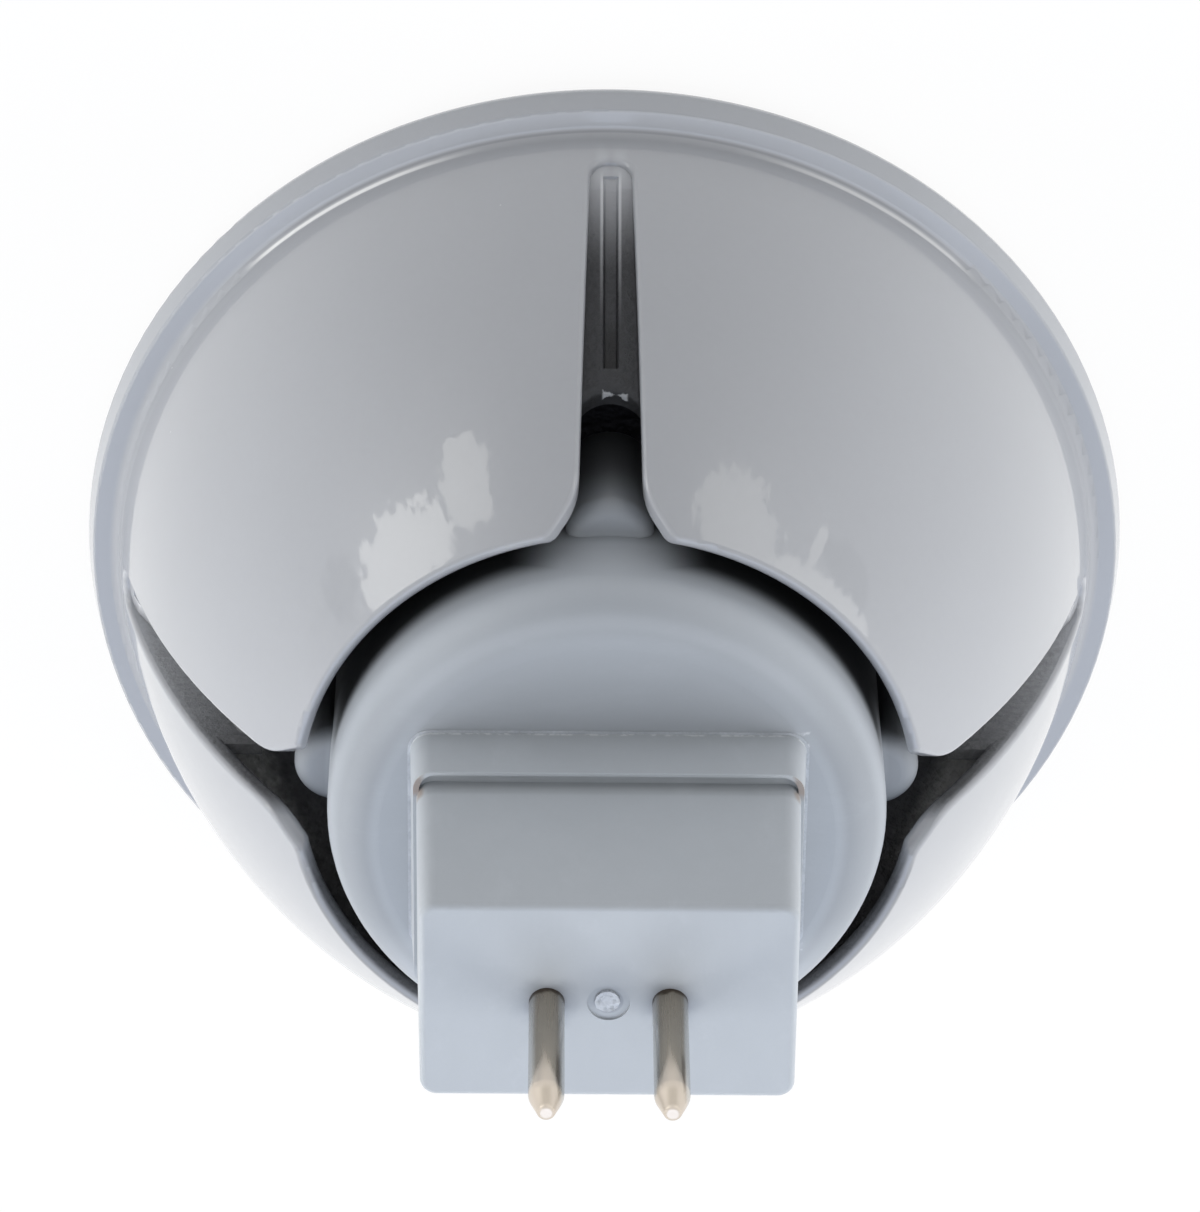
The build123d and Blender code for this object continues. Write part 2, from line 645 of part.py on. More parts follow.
def capacitor(side):
    """Electrolytic can that lies on the far face of the board."""
    front = driver_head_middle() - CAPACITOR_LENGTH / 2
    can = cylinder(CAPACITOR_RADIUS, front, front + CAPACITOR_LENGTH)
    can = fillet(can.edges().filter_by(GeomType.CIRCLE), CAPACITOR_ROUND)
    return Pos(side * CAPACITOR_SPACING / 2, board_back_y + CAPACITOR_RADIUS, 0) * can


def on_board(width, height, length, x, z):
    """Flat part on the near face of the board."""
    return block(width, height, length, x, board_face_y - height / 2, z)


def driver_chip():
    """Control chip on the board's head."""
    x = LEAD_SPACING / 2 + LEAD_RADIUS + CHIP_WIDTH / 2 + BOARD_CLEARANCE
    return on_board(CHIP_WIDTH, CHIP_HEIGHT, CHIP_LENGTH, x, driver_head_middle())


def rectifier():
    """Bridge rectifier on the board's tail."""
    return on_board(
        RECTIFIER_WIDTH, RECTIFIER_HEIGHT, RECTIFIER_LENGTH, 0, driver_tail_z + RECTIFIER_LENGTH / 2
    )


def small_chips():
    """Row of small resistors and capacitors beside the control chip."""
    z = driver_head_middle() + CHIP_LENGTH / 2 + SMALL_CHIP_LENGTH
    first = LEAD_SPACING / 2 + LEAD_RADIUS + SMALL_CHIP_WIDTH / 2 + BOARD_CLEARANCE
    places = [first + SMALL_CHIP_PITCH * i for i in range(SMALL_CHIP_COUNT)]
    return [on_board(SMALL_CHIP_WIDTH, SMALL_CHIP_HEIGHT, SMALL_CHIP_LENGTH, x, z) for x in places]


def led_lead(side):
    """Insulated lead along the driver board, through the sink, and bent over onto the light-source board."""
    x = side * LEAD_SPACING / 2
    y = board_face_y - LEAD_RADIUS
    start = (x, y, driver_head_z + LEAD_OVERLAP)
    corner = (x, y, led_board_z - LEAD_RADIUS)
    end = (x + side * LEAD_REACH, y, led_board_z - LEAD_RADIUS)
    path = FilletPolyline(start, corner, end, radius=LEAD_BEND)
    return sweep(Plane(path @ 0, z_dir=path % 0) * Circle(LEAD_RADIUS), path=path)


def nodes():
    """All pieces by name."""
    return {
        "petal_shell": petal_shell(),
        "front_lens": front_lens(),
        "led_packages": led_packages(),
        "led_domes": led_domes(),
        "led_board": led_board(),
        "thermal_pad": thermal_pad(),
        "heat_sink": heat_sink(),
        "assembly_screws": assembly_screws(),
        "driver_cup": driver_cup(),
        "base_plug": base_plug(),
        "contact_pin_left": contact_pin(-PIN_SPACING / 2),
        "contact_pin_right": contact_pin(PIN_SPACING / 2),
        "driver_board": driver_board(),
        "choke_core": choke_core(),
        "choke_winding": choke_winding(),
        "input_capacitor": capacitor(-1),
        "output_capacitor": capacitor(1),
        "rectifier": rectifier(),
        "driver_chip": driver_chip(),
        "small_chips": small_chips(),
        "led_lead_negative": led_lead(-1),
        "led_lead_positive": led_lead(1),
    }


os.makedirs("parts", exist_ok=True)
for name, piece in nodes().items():
    solids = piece if isinstance(piece, list) else [piece]
    export_step(Compound(children=[Part(solid.wrapped) for solid in solids]), f"parts/{name}.step")
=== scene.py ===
import logging
import math
from dataclasses import dataclass, field
from enum import Enum
from functools import cached_property

import bpy
from mathutils import Matrix, Vector


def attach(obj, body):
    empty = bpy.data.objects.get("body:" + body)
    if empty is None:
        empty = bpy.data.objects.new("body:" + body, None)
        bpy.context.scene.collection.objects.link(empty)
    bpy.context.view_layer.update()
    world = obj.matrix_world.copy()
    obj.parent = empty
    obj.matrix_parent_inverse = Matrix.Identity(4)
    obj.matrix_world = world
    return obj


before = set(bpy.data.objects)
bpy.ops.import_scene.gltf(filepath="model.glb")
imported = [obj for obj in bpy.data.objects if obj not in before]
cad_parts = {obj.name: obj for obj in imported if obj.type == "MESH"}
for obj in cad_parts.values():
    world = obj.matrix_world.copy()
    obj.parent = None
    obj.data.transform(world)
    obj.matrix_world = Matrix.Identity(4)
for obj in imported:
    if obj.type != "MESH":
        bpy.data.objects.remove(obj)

LOG = logging.getLogger("spotlight_bulb")
MM = 0.001
IN_MM = 1000.0
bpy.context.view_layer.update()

Colour = tuple[float, float, float]
Point = tuple[float, float, float]
Span = tuple[float, float]

EVEN: Point = (1.0, 1.0, 1.0)
WHITE: Colour = (1.0, 1.0, 1.0)


class Maths(Enum):
    """Operations of a Math node."""

    ADD = "ADD"
    SUBTRACT = "SUBTRACT"
    MULTIPLY = "MULTIPLY"
    DIVIDE = "DIVIDE"
    LARGER = "MAXIMUM"
    SMALLER = "MINIMUM"
    FOLD = "PINGPONG"
    SIZE = "ABSOLUTE"
    ROOT = "SQRT"
    SIGN = "SIGN"


class Wire:
    """One output of a node, with arithmetic that adds Math nodes and the recipes that start from a value."""

    def __init__(self, graph: "Graph", socket: bpy.types.NodeSocket) -> None:
        """Keeps the socket and the graph that it belongs to."""
        self.graph = graph
        self.socket = socket

    def other(self, name: str) -> "Wire":
        """Another output of the same node."""
        return Wire(self.graph, self.socket.node.outputs[name])

    def __add__(self, value: "Operand") -> "Wire":
        """self + value."""
        return self.graph.math(Maths.ADD, self, value)

    def __radd__(self, value: "Operand") -> "Wire":
        """value + self."""
        return self.graph.math(Maths.ADD, value, self)

    def __sub__(self, value: "Operand") -> "Wire":
        """self - value."""
        return self.graph.math(Maths.SUBTRACT, self, value)

    def __rsub__(self, value: "Operand") -> "Wire":
        """value - self."""
        return self.graph.math(Maths.SUBTRACT, value, self)

    def __mul__(self, value: "Operand") -> "Wire":
        """self * value."""
        return self.graph.math(Maths.MULTIPLY, self, value)

    def __rmul__(self, value: "Operand") -> "Wire":
        """value * self."""
        return self.graph.math(Maths.MULTIPLY, value, self)

    def __truediv__(self, value: "Operand") -> "Wire":
        """self / value."""
        return self.graph.math(Maths.DIVIDE, self, value)

    def __abs__(self) -> "Wire":
        """Absolute value."""
        return self.graph.math(Maths.SIZE, self)

    def sign(self) -> "Wire":
        """1 above zero and -1 below it."""
        return self.graph.math(Maths.SIGN, self)

    def root(self) -> "Wire":
        """Square root."""
        return self.graph.math(Maths.ROOT, self)

    def larger(self, value: "Operand") -> "Wire":
        """The larger of two values."""
        return self.graph.math(Maths.LARGER, self, value)

    def smaller(self, value: "Operand") -> "Wire":
        """The smaller of two values."""
        return self.graph.math(Maths.SMALLER, self, value)

    def folded(self, length: float) -> "Wire":
        """Value that runs up to length and back, over and over."""
        return self.graph.math(Maths.FOLD, self, length)

    def step(self, low: float, high: float) -> "Wire":
        """Smooth step from 0 at low to 1 at high."""
        return self.graph.add("ShaderNodeMapRange", {"interpolation_type": "SMOOTHSTEP"},
                              {"Value": self, "From Min": low, "From Max": high})

    def band(self, middle: float, half: float, soft: float) -> "Wire":
        """1 where the value lies within half of middle, falling to 0 over soft."""
        return 1.0 - abs(self - middle).step(half, half + soft)

    def shade(self, colour: "Colour | Wire") -> "Wire":
        """A colour made lighter or darker by this level about 1."""
        return self.graph.add("ShaderNodeVectorMath", {"operation": "SCALE"},
                              {"Vector": colour, "Scale": self})

    def mix(self, first: "Colour | Wire", second: "Colour | Wire") -> "Wire":
        """First colour where this share is 0, second where it is 1."""
        return self.graph.add("ShaderNodeMix", {"data_type": "RGBA"},
                              {"Factor_Float": self, "A_Color": first, "B_Color": second}, out="Result_Color")


Operand = Wire | float


class Graph:
    """Node tree of one material, with the few node recipes that the finishes share."""

    def __init__(self, tree: bpy.types.NodeTree) -> None:
        """Empties the tree that is to be drawn."""
        self.tree = tree
        self.tree.nodes.clear()

    def add(self, kind: str, settings: dict | None = None, sockets: dict | None = None,
            out: int | str = 0) -> Wire:
        """Adds one node.

        Args:
            kind: Blender's name of the node's type.
            settings: Properties, set before the sockets.
            sockets: Values or wires by the socket's identifier, name or number.
            out: Output that is handed back.

        Returns:
            The chosen output as a wire.
        """
        node = self.tree.nodes.new(kind)
        for key, value in (settings or {}).items():
            setattr(node, key, value)
        for key, value in (sockets or {}).items():
            self.feed(self._find(node.inputs, key), value)
        return Wire(self, self._find(node.outputs, out))

    @staticmethod
    def _find(sockets: bpy.types.bpy_prop_collection, key: int | str) -> bpy.types.NodeSocket:
        """Finds a socket by number, identifier or name."""
        named = [socket for socket in sockets if socket.identifier == key]
        return named[0] if named else sockets[key]

    def feed(self, socket: bpy.types.NodeSocket, value: object) -> None:
        """Links a wire to an input, or sets the input's own value."""
        if isinstance(value, Wire):
            self.tree.links.new(value.socket, socket)
        elif socket.type == "RGBA" and len(value) == 3:
            socket.default_value = (*value, 1.0)
        else:
            socket.default_value = value

    def close(self, kind: str, shader: Wire) -> None:
        """Links a shader to the tree's output, a node of the given type."""
        output = self.tree.nodes.new(kind)
        self.feed(output.inputs["Surface"], shader)

    def math(self, operation: Maths, *values: Operand) -> Wire:
        """Adds one Math node."""
        return self.add("ShaderNodeMath", {"operation": operation.value}, dict(enumerate(values)))

    def coordinates(self, stretch: Point = EVEN) -> Wire:
        """Object coordinates, stretched along the axes."""
        place = self.add("ShaderNodeTexCoord", out="Object")
        if stretch == EVEN:
            return place
        return self.add("ShaderNodeMapping", None, {"Vector": place, "Scale": stretch})

    @cached_property
    def axes(self) -> tuple[Wire, Wire, Wire]:
        """Object coordinates in millimetres, one wire for each axis."""
        split = self.add("ShaderNodeSeparateXYZ", None, {"Vector": self.coordinates()}, out="X")
        return split * IN_MM, split.other("Y") * IN_MM, split.other("Z") * IN_MM

    @cached_property
    def radius(self) -> Wire:
        """Distance from the Z axis, in millimetres."""
        x, y, _ = self.axes
        return (x * x + y * y).root()

    @cached_property
    def across(self) -> Wire:
        """Distance from the nearer of the planes through the Z axis and X or Y, in millimetres."""
        x, y, _ = self.axes
        return abs(x).smaller(abs(y))

    def sides(self, low: float, high: float) -> Wire:
        """1 in the two quarters round the X axis, 0 in the other two, with a smooth step between them."""
        x, y, _ = self.axes
        return (abs(x) - abs(y)).step(low, high)

    def noise(self, size_mm: float, detail: float = 2.0, stretch: Point = EVEN,
              roughness: float = 0.5) -> Wire:
        """Noise from 0 to 1 whose features are about size_mm wide."""
        sockets = {"Vector": self.coordinates(stretch), "Scale": IN_MM / size_mm, "Detail": detail,
                   "Roughness": roughness}
        return self.add("ShaderNodeTexNoise", None, sockets, out="Fac")

    def specks(self, spacing_mm: float, share: float, radius: float) -> Wire:
        """Scattered round specks, 1 inside and 0 outside.

        Args:
            spacing_mm: Mean distance between the places where a speck may be.
            share: Share of those places that have none.
            radius: Radius of a speck as a share of the spacing.

        Returns:
            The mask.
        """
        sockets = {"Vector": self.coordinates(), "Scale": IN_MM / spacing_mm}
        distance = self.add("ShaderNodeTexVoronoi", None, sockets, out="Distance")
        pick = self.add("ShaderNodeSeparateColor", None, {"Color": distance.other("Color")}, out="Red")
        return pick.step(share, share + 0.02) * (1.0 - distance.step(0.5 * radius, radius))

    def bump(self, height: Wire, height_mm: float, under: Wire | None = None) -> Wire:
        """Normal of a surface raised by height, which runs from 0 to 1."""
        sockets = {"Height": height, "Distance": height_mm * MM, "Strength": 1.0}
        if under is not None:
            sockets["Normal"] = under
        return self.add("ShaderNodeBump", None, sockets)


class Surface(Graph):
    """Graph of a material with one Principled shader."""

    def __init__(self, name: str) -> None:
        """Makes the material and its shader."""
        self.material = bpy.data.materials.new(name)
        self.material.use_nodes = True
        super().__init__(self.material.node_tree)
        self.shader = self.tree.nodes.new("ShaderNodeBsdfPrincipled")
        self.close("ShaderNodeOutputMaterial", Wire(self, self.shader.outputs[0]))

    def dress(self, **sockets: object) -> None:
        """Feeds the shader's sockets, named in lower case with underscores."""
        titles = {"ior": "IOR", "coat_ior": "Coat IOR", "specular_ior_level": "Specular IOR Level"}
        for key, value in sockets.items():
            self.feed(self.shader.inputs[titles.get(key, key.replace("_", " ").title())], value)


def tone(red: int, green: int, blue: int) -> Colour:
    """Linear colour of a screen colour from 0 to 255."""
    def linear(level: int) -> float:
        """One channel."""
        share = level / 255
        return share / 12.92 if share <= 0.04045 else ((share + 0.055) / 1.055) ** 2.4

    return linear(red), linear(green), linear(blue)


@dataclass(frozen=True)
class Finish:
    """Look of one material; each kind draws its own graph."""

    name: str
    colour: Colour

    def material(self) -> bpy.types.Material:
        """Draws the material."""
        surface = Surface(self.name)
        self.paint(surface)
        return surface.material

    def paint(self, surface: Surface) -> None:
        """Draws the graph of the finish.

        Args:
            surface: Empty graph with its shader.
        """
        raise NotImplementedError


@dataclass(frozen=True)
class BellCurve:
    """Circular outside profile of the bell, in millimetres."""

    front_radius: float = 23.5
    rear_radius: float = 14.32
    front: float = 2.25
    depth: float = 20.35
    bulge: float = 1.43

    def outside(self, height: Wire) -> Wire:
        """Radius of the bell's outside at a height.

        Args:
            height: Height above the rim's front plane, in millimetres.

        Returns:
            The radius, in millimetres.
        """
        across = self.rear_radius - self.front_radius
        chord = math.hypot(across, self.depth)
        arc = (chord ** 2 / 4 + self.bulge ** 2) / (2 * self.bulge)
        centre_radius = (self.front_radius + self.rear_radius) / 2 - (arc - self.bulge) * self.depth / chord
        centre_height = self.front + self.depth / 2 + (arc - self.bulge) * across / chord
        away = height - centre_height
        return (arc ** 2 - away * away).larger(0.0).root() + centre_radius


@dataclass(frozen=True)
class GlossLacquer(Finish):
    """Grey gloss lacquer on a casting, thinner and rougher down a trough, with painted shade down the troughs
    and inside the far petals, painted light in the side troughs, at the trough mouths and on the flange,
    painted shade on the far rear edges and a neck crease, and painted highlights along the neck, the groove
    edges and the lip.
    """

    # bare: painted shade colour of the near and far troughs and the far petals' insides, over the rough
    # casting
    bare: Colour = (0.036, 0.037, 0.041)
    # side_lit_grey: painted light in the side troughs
    side_lit_grey: Colour = (0.34, 0.345, 0.355)
    # painted_highlight: colour of the painted highlights on the groove edges and the lip
    painted_highlight: Colour = (0.72, 0.73, 0.75)
    rim: Colour = tone(154, 157, 162)
    bell: BellCurve = field(default_factory=BellCurve)
    rim_height: float = 2.3
    flange_height: float = 2.25
    crease_height: float = 2.31
    gleam_height: float = 2.48
    neck: float = 2.75
    fading: Span = (3.7, 9.3)
    side_fading: Span = (9.0, 19.0)
    rear_edge: Span = (19.8, 21.6)
    far_side: Span = (1.0, 5.0)
    lip_depth: Span = (2.2, 2.35)
    lip_middle: Span = (-0.2, 2.35)
    lip_half: float = 0.62
    lip_start: Span = (14.45, 14.6)
    lip_end: Span = (15.3, 15.5)
    lip_near: Span = (15.0, 16.0)
    ridge_place: float = 0.41
    ridge_start: Span = (4.3, 5.4)
    ridge_end: Span = (6.0, 12.5)
    mouth_height: float = 4.2
    edge_height: float = 22.25
    inner_height: Span = (16.0, 18.0)
    flange_sides: Span = (16.0, 22.0)
    crease_sides: Span = (13.5, 16.8)
    gleam_near: Span = (4.0, 8.0)
    gleam_sides: Span = (5.5, 11.0)
    gleam_end: Span = (15.6, 17.4)
    # pale_mark: colour of the dust specks and of the painted highlight along the neck
    pale_mark: Colour = (0.85, 0.85, 0.84)
    # below_lip_shade_colour: painted shade colour below the lip of the near and far troughs
    below_lip_shade_colour: Colour = (0.006, 0.006, 0.007)

    def paint(self, surface: Surface) -> None:
        """Draws the lacquer with its mottling and dust, the cooler rim, the thinner, rougher coat and painted
        shade down the troughs, and painted light, shade and highlights on the coat.
        """
        z = surface.axes[2]
        depth = self.bell.outside(z) - surface.radius
        cast = surface.noise(0.28, 4.0, roughness=0.65)
        grain = surface.noise(0.35, 2.0)
        bare = self.bareness_and_painted_shade(surface, depth)
        neck = z.band(self.neck, 0.35, 0.25)
        # bare blends the full coat into the trough colour: a thinner, rougher coat with painted shade, and
        # painted light in the side troughs
        body = bare.mix(self.coated(surface, grain), self.trough_light_and_shade(surface, depth, cast))
        # ridge_highlight: painted highlight along both edges of the groove in each trough
        ridge_highlight = surface.across.band(self.ridge_place, 0.02, 0.1) * z.step(*self.ridge_start)
        ridge_highlight = ridge_highlight * (1.0 - z.step(*self.ridge_end)) * depth.step(0.1, 0.3)
        surface.dress(
            base_color=(ridge_highlight * 0.5).larger(self.lip_glint(surface, depth)).mix(body, self.painted_highlight),
            roughness=0.27 + 0.08 * grain + 0.3 * bare + 0.2 * neck,
            coat_weight=0.9 * (1.0 - bare) * (1.0 - 0.7 * neck),
            coat_roughness=0.035,
            coat_ior=1.5,
            specular_ior_level=0.45,
            normal=surface.bump(cast * bare, 0.12, under=surface.bump(surface.noise(1.6, 1.0), 0.0016)),
        )

    def coated(self, surface: Surface, grain: Wire) -> Wire:
        """Colour of the full coat with its dust specks, painted light at the mouths of the troughs and on the
        flange, painted shade on the far rear edges and in a crease of the neck, and a painted highlight along
        the neck.

        Args:
            surface: Graph to draw in.
            grain: Fine noise of the lacquer.

        Returns:
            The colour.
        """
        x, y, z = surface.axes
        level = 0.955 + 0.06 * surface.noise(9.0, 3.0) + 0.03 * grain
        # mouth_light: painted light at the mouths of the troughs
        mouth_light = z.band(self.mouth_height, 0.1, 1.3) * surface.across.band(self.ridge_place, 0.05, 0.4)
        # far_edge_shade: painted shade on the far petals' rear edges
        far_edge_shade = z.step(self.edge_height, self.edge_height + 0.15) * y.step(*self.far_side)
        beside = abs(x)
        # flange_light: painted light on the flange's face, less at the sides
        flange_light = z.band(self.flange_height, 0.03, 0.03) * (1.0 - 0.8 * beside.step(*self.flange_sides))
        # crease_shade: painted shade in a thin crease at the neck, less at the sides
        crease_shade = z.band(self.crease_height, 0.02, 0.04) * (1.0 - beside.step(*self.crease_sides))
        level = level * (1.0 + 0.12 * mouth_light + 0.2 * flange_light) * (1.0 - 0.3 * far_edge_shade - 0.2 * crease_shade)
        # gleam: painted highlight along the neck on the near side
        gleam = z.band(self.gleam_height, 0.03, 0.09) * (0.0 - y).step(*self.gleam_near)
        gleam = gleam * beside.step(*self.gleam_sides) * (0.5 + 0.5 * x.step(-1.0, 1.0))
        gleam = gleam * (1.0 - x.larger(1.12 * beside - 2.0).step(*self.gleam_end))
        edge = 1.0 - z.step(self.rim_height - 0.15, self.rim_height)
        body = edge.mix(self.colour, self.rim)
        # pale: dust specks and the painted highlight along the neck
        pale = (surface.specks(2.6, 0.72, 0.022) * 0.55).larger(gleam * 0.85)
        return pale.mix(level.shade(body), self.pale_mark)

    def bareness_and_painted_shade(self, surface: Surface, depth: Wire) -> Wire:
        """Share of the coat that is missing in the troughs and inside the far petals, which also sets the
        painted shade there.

        Args:
            surface: Graph to draw in.
            depth: Depth below the bell's outside, in millimetres.

        Returns:
            0 for a full coat, nearly 1 for no coat and the darkest painted shade.
        """
        _, y, z = surface.axes
        # depth below the bell's outside sets the thin coat and the painted shade down the troughs
        ragged = depth + 0.2 * surface.noise(0.5, 3.0) - 0.1
        sunk = ragged.step(0.12, 0.6)
        along = z.step(*self.fading) * (1.0 - z.step(*self.rear_edge))
        # inside_shade: painted shade on the inner faces of the far petals towards their rear edges
        inside_shade = depth.step(0.2, 0.55) * z.step(*self.inner_height) * y.step(*self.far_side)
        return 0.96 * (sunk * along).larger(inside_shade * 0.9)

    def trough_light_and_shade(self, surface: Surface, depth: Wire, cast: Wire) -> Wire:
        """Colour down in the troughs: rough casting under painted shade in the near and far troughs, painted
        light in the side troughs, and painted shade below the lip.

        Args:
            surface: Graph to draw in.
            depth: Depth below the bell's outside, in millimetres.
            cast: Noise of the rough casting.

        Returns:
            The colour.
        """
        z = surface.axes[2]
        sides = surface.sides(-1.0, 1.0)
        # side_trough_light: painted light in the side troughs, fading towards the rear; the near and far
        # troughs take the painted shade colour
        side_trough_light = sides * (1.0 - 0.75 * z.step(*self.side_fading) - 0.24 * z.step(*self.rear_edge))
        raw = (0.5 + cast).shade(side_trough_light.mix(self.bare, self.side_lit_grey))
        # below_lip_shade: painted shade below the lip of the near and far troughs
        below_lip_shade = depth.step(*self.lip_depth) * (1.0 - sides)
        return below_lip_shade.mix(raw, self.below_lip_shade_colour)

    def lip_glint(self, surface: Surface, depth: Wire) -> Wire:
        """Mask of the two painted glints that meet on the lip of the near trough.

        Args:
            surface: Graph to draw in.
            depth: Depth below the bell's outside, in millimetres.

        Returns:
            The mask.
        """
        x, y, z = surface.axes
        aside = abs(x - self.lip_middle[0])
        reach = 0.02 + 0.3 * aside - abs(depth - self.lip_middle[1])
        # spot: painted glint on the lip, two wedges meeting in the middle
        spot = 0.75 * (reach + 0.34 * surface.noise(0.24, 4.0, roughness=0.7) - 0.16).step(0.0, 0.06)
        spot = spot * (1.0 - aside.step(self.lip_half - 0.12, self.lip_half)) * z.step(*self.lip_start)
        return spot * (1.0 - z.step(*self.lip_end)) * (0.0 - y).step(*self.lip_near)


@dataclass(frozen=True)
class SatinPlastic(Finish):
    """Moulded satin plastic with a fine grain and faint rubbed streaks."""

    streak_stretch: Point = EVEN
    roughness: float = 0.42
    pale_mark: Colour = (0.78, 0.8, 0.82)

    def paint(self, surface: Surface) -> None:
        """Draws the plastic, its grain and streaks, what has settled on it, and the marks and painted light
        and shade of its kind.
        """
        cloud = surface.noise(5.0, 4.0, self.streak_stretch, 0.6)
        fine = surface.noise(0.16, 2.0)
        lighter_mark = surface.noise(2.2, 5.0, self.streak_stretch, 0.7).step(0.52, 0.74)
        level = 0.95 + 0.07 * cloud + 0.03 * fine + 0.05 * lighter_mark
        crumbs = self.crumbs(surface)
        pale_mark = surface.specks(2.2, 0.7, 0.022) * 0.4
        body = self.altered_colour(surface, level.shade(self.colour))
        surface.dress(
            base_color=(crumbs * 0.45).larger(pale_mark).mix(body, self.pale_mark),
            roughness=self.roughness + 0.08 * fine + 0.06 * lighter_mark,
            specular_ior_level=0.5,
            normal=surface.bump(fine + 0.6 * crumbs, 0.003),
        )

    def crumbs(self, surface: Surface) -> Wire:
        """Mask of the pale crumbs that lie in corners.

        Args:
            surface: Graph to draw in.

        Returns:
            The mask.
        """
        raise NotImplementedError

    def altered_colour(self, surface: Surface, clean: Wire) -> Wire:
        """Colour of the plastic with the marks and the painted light and shade of its kind.

        Args:
            surface: Graph to draw in.
            clean: Colour of the clean plastic.

        Returns:
            The colour.
        """
        raise NotImplementedError


@dataclass(frozen=True)
class CupPlastic(SatinPlastic):
    """Plastic of the cup, with crumbs along the collar's foot, painted shade in the depths behind the petals
    and on the bosses, and painted light and shade on the rounded corner and near wall.
    """

    seam_half: Span = (8.83, 5.84)
    seam_height: float = 25.7
    wall_radius: float = 12.7
    wall_shade: Span = (21.1, 22.7)
    boss_shade: Span = (16.2, 22.6)
    rib_shade: Span = (18.2, 20.8)
    rib_half: Span = (2.0, 4.6)
    corner_radius: float = 11.5
    corner_height: Span = (23.0, 24.0)
    wall_side: Span = (12.1, 12.6)
    # painted_shade: darkest level of the painted shade behind the petals; boss_painted_shade on the bosses
    painted_shade: float = 0.05
    boss_painted_shade: float = 0.13

    def crumbs(self, surface: Surface) -> Wire:
        """Pale crumbs along the foot of the collar."""
        x, y, z = surface.axes
        outside = (abs(x) - self.seam_half[0]).larger(abs(y) - self.seam_half[1])
        near_seam = outside.band(0.03, 0.04, 0.1) * z.band(self.seam_height, 0.06, 0.05)
        patchy = surface.noise(2.6, 2.0).step(0.45, 0.6)
        return near_seam * patchy * surface.noise(0.3, 3.0).step(0.5, 0.68)

    def altered_colour(self, surface: Surface, clean: Wire) -> Wire:
        """Paints shade on the wall behind the petals and the foot of each boss, shade on the rounded corner
        at the sides, a thin highlight along it on the near side and light on the near wall.
        """
        z = surface.axes[2]
        radius = surface.radius
        by_boss = 1.0 - surface.across.step(*self.rib_half)
        on_boss = radius.step(self.wall_radius, self.wall_radius + 0.3)
        # wall_light and light: painted shade on the wall behind the petals and on the bosses, darker towards
        # the front
        wall_light = z.step(*self.wall_shade).larger(by_boss * z.step(*self.rib_shade))
        light = wall_light + on_boss * (z.step(*self.boss_shade) - wall_light)
        sides = surface.sides(-2.0, 8.0)
        # corner: painted shade on the rounded corner at the sides, and with lighter_mark a thin painted
        # highlight on the near side
        corner = radius.band(self.corner_radius, 0.5, 0.6) * z.step(*self.corner_height)
        lighter_mark = radius.band(self.corner_radius, 0.06, 0.4) * (1.0 - sides)
        # near_wall_light: painted light on the near wall
        near_wall_light = radius.step(*self.wall_side) * (1.0 - sides)
        level = (1.0 - 0.2 * corner * sides) * (1.0 + 0.1 * corner * lighter_mark) * (1.0 + 0.1 * near_wall_light)
        painted_shade = self.painted_shade + (self.boss_painted_shade - self.painted_shade) * on_boss
        return (level * (painted_shade + (1.0 - painted_shade) * light)).shade(clean)


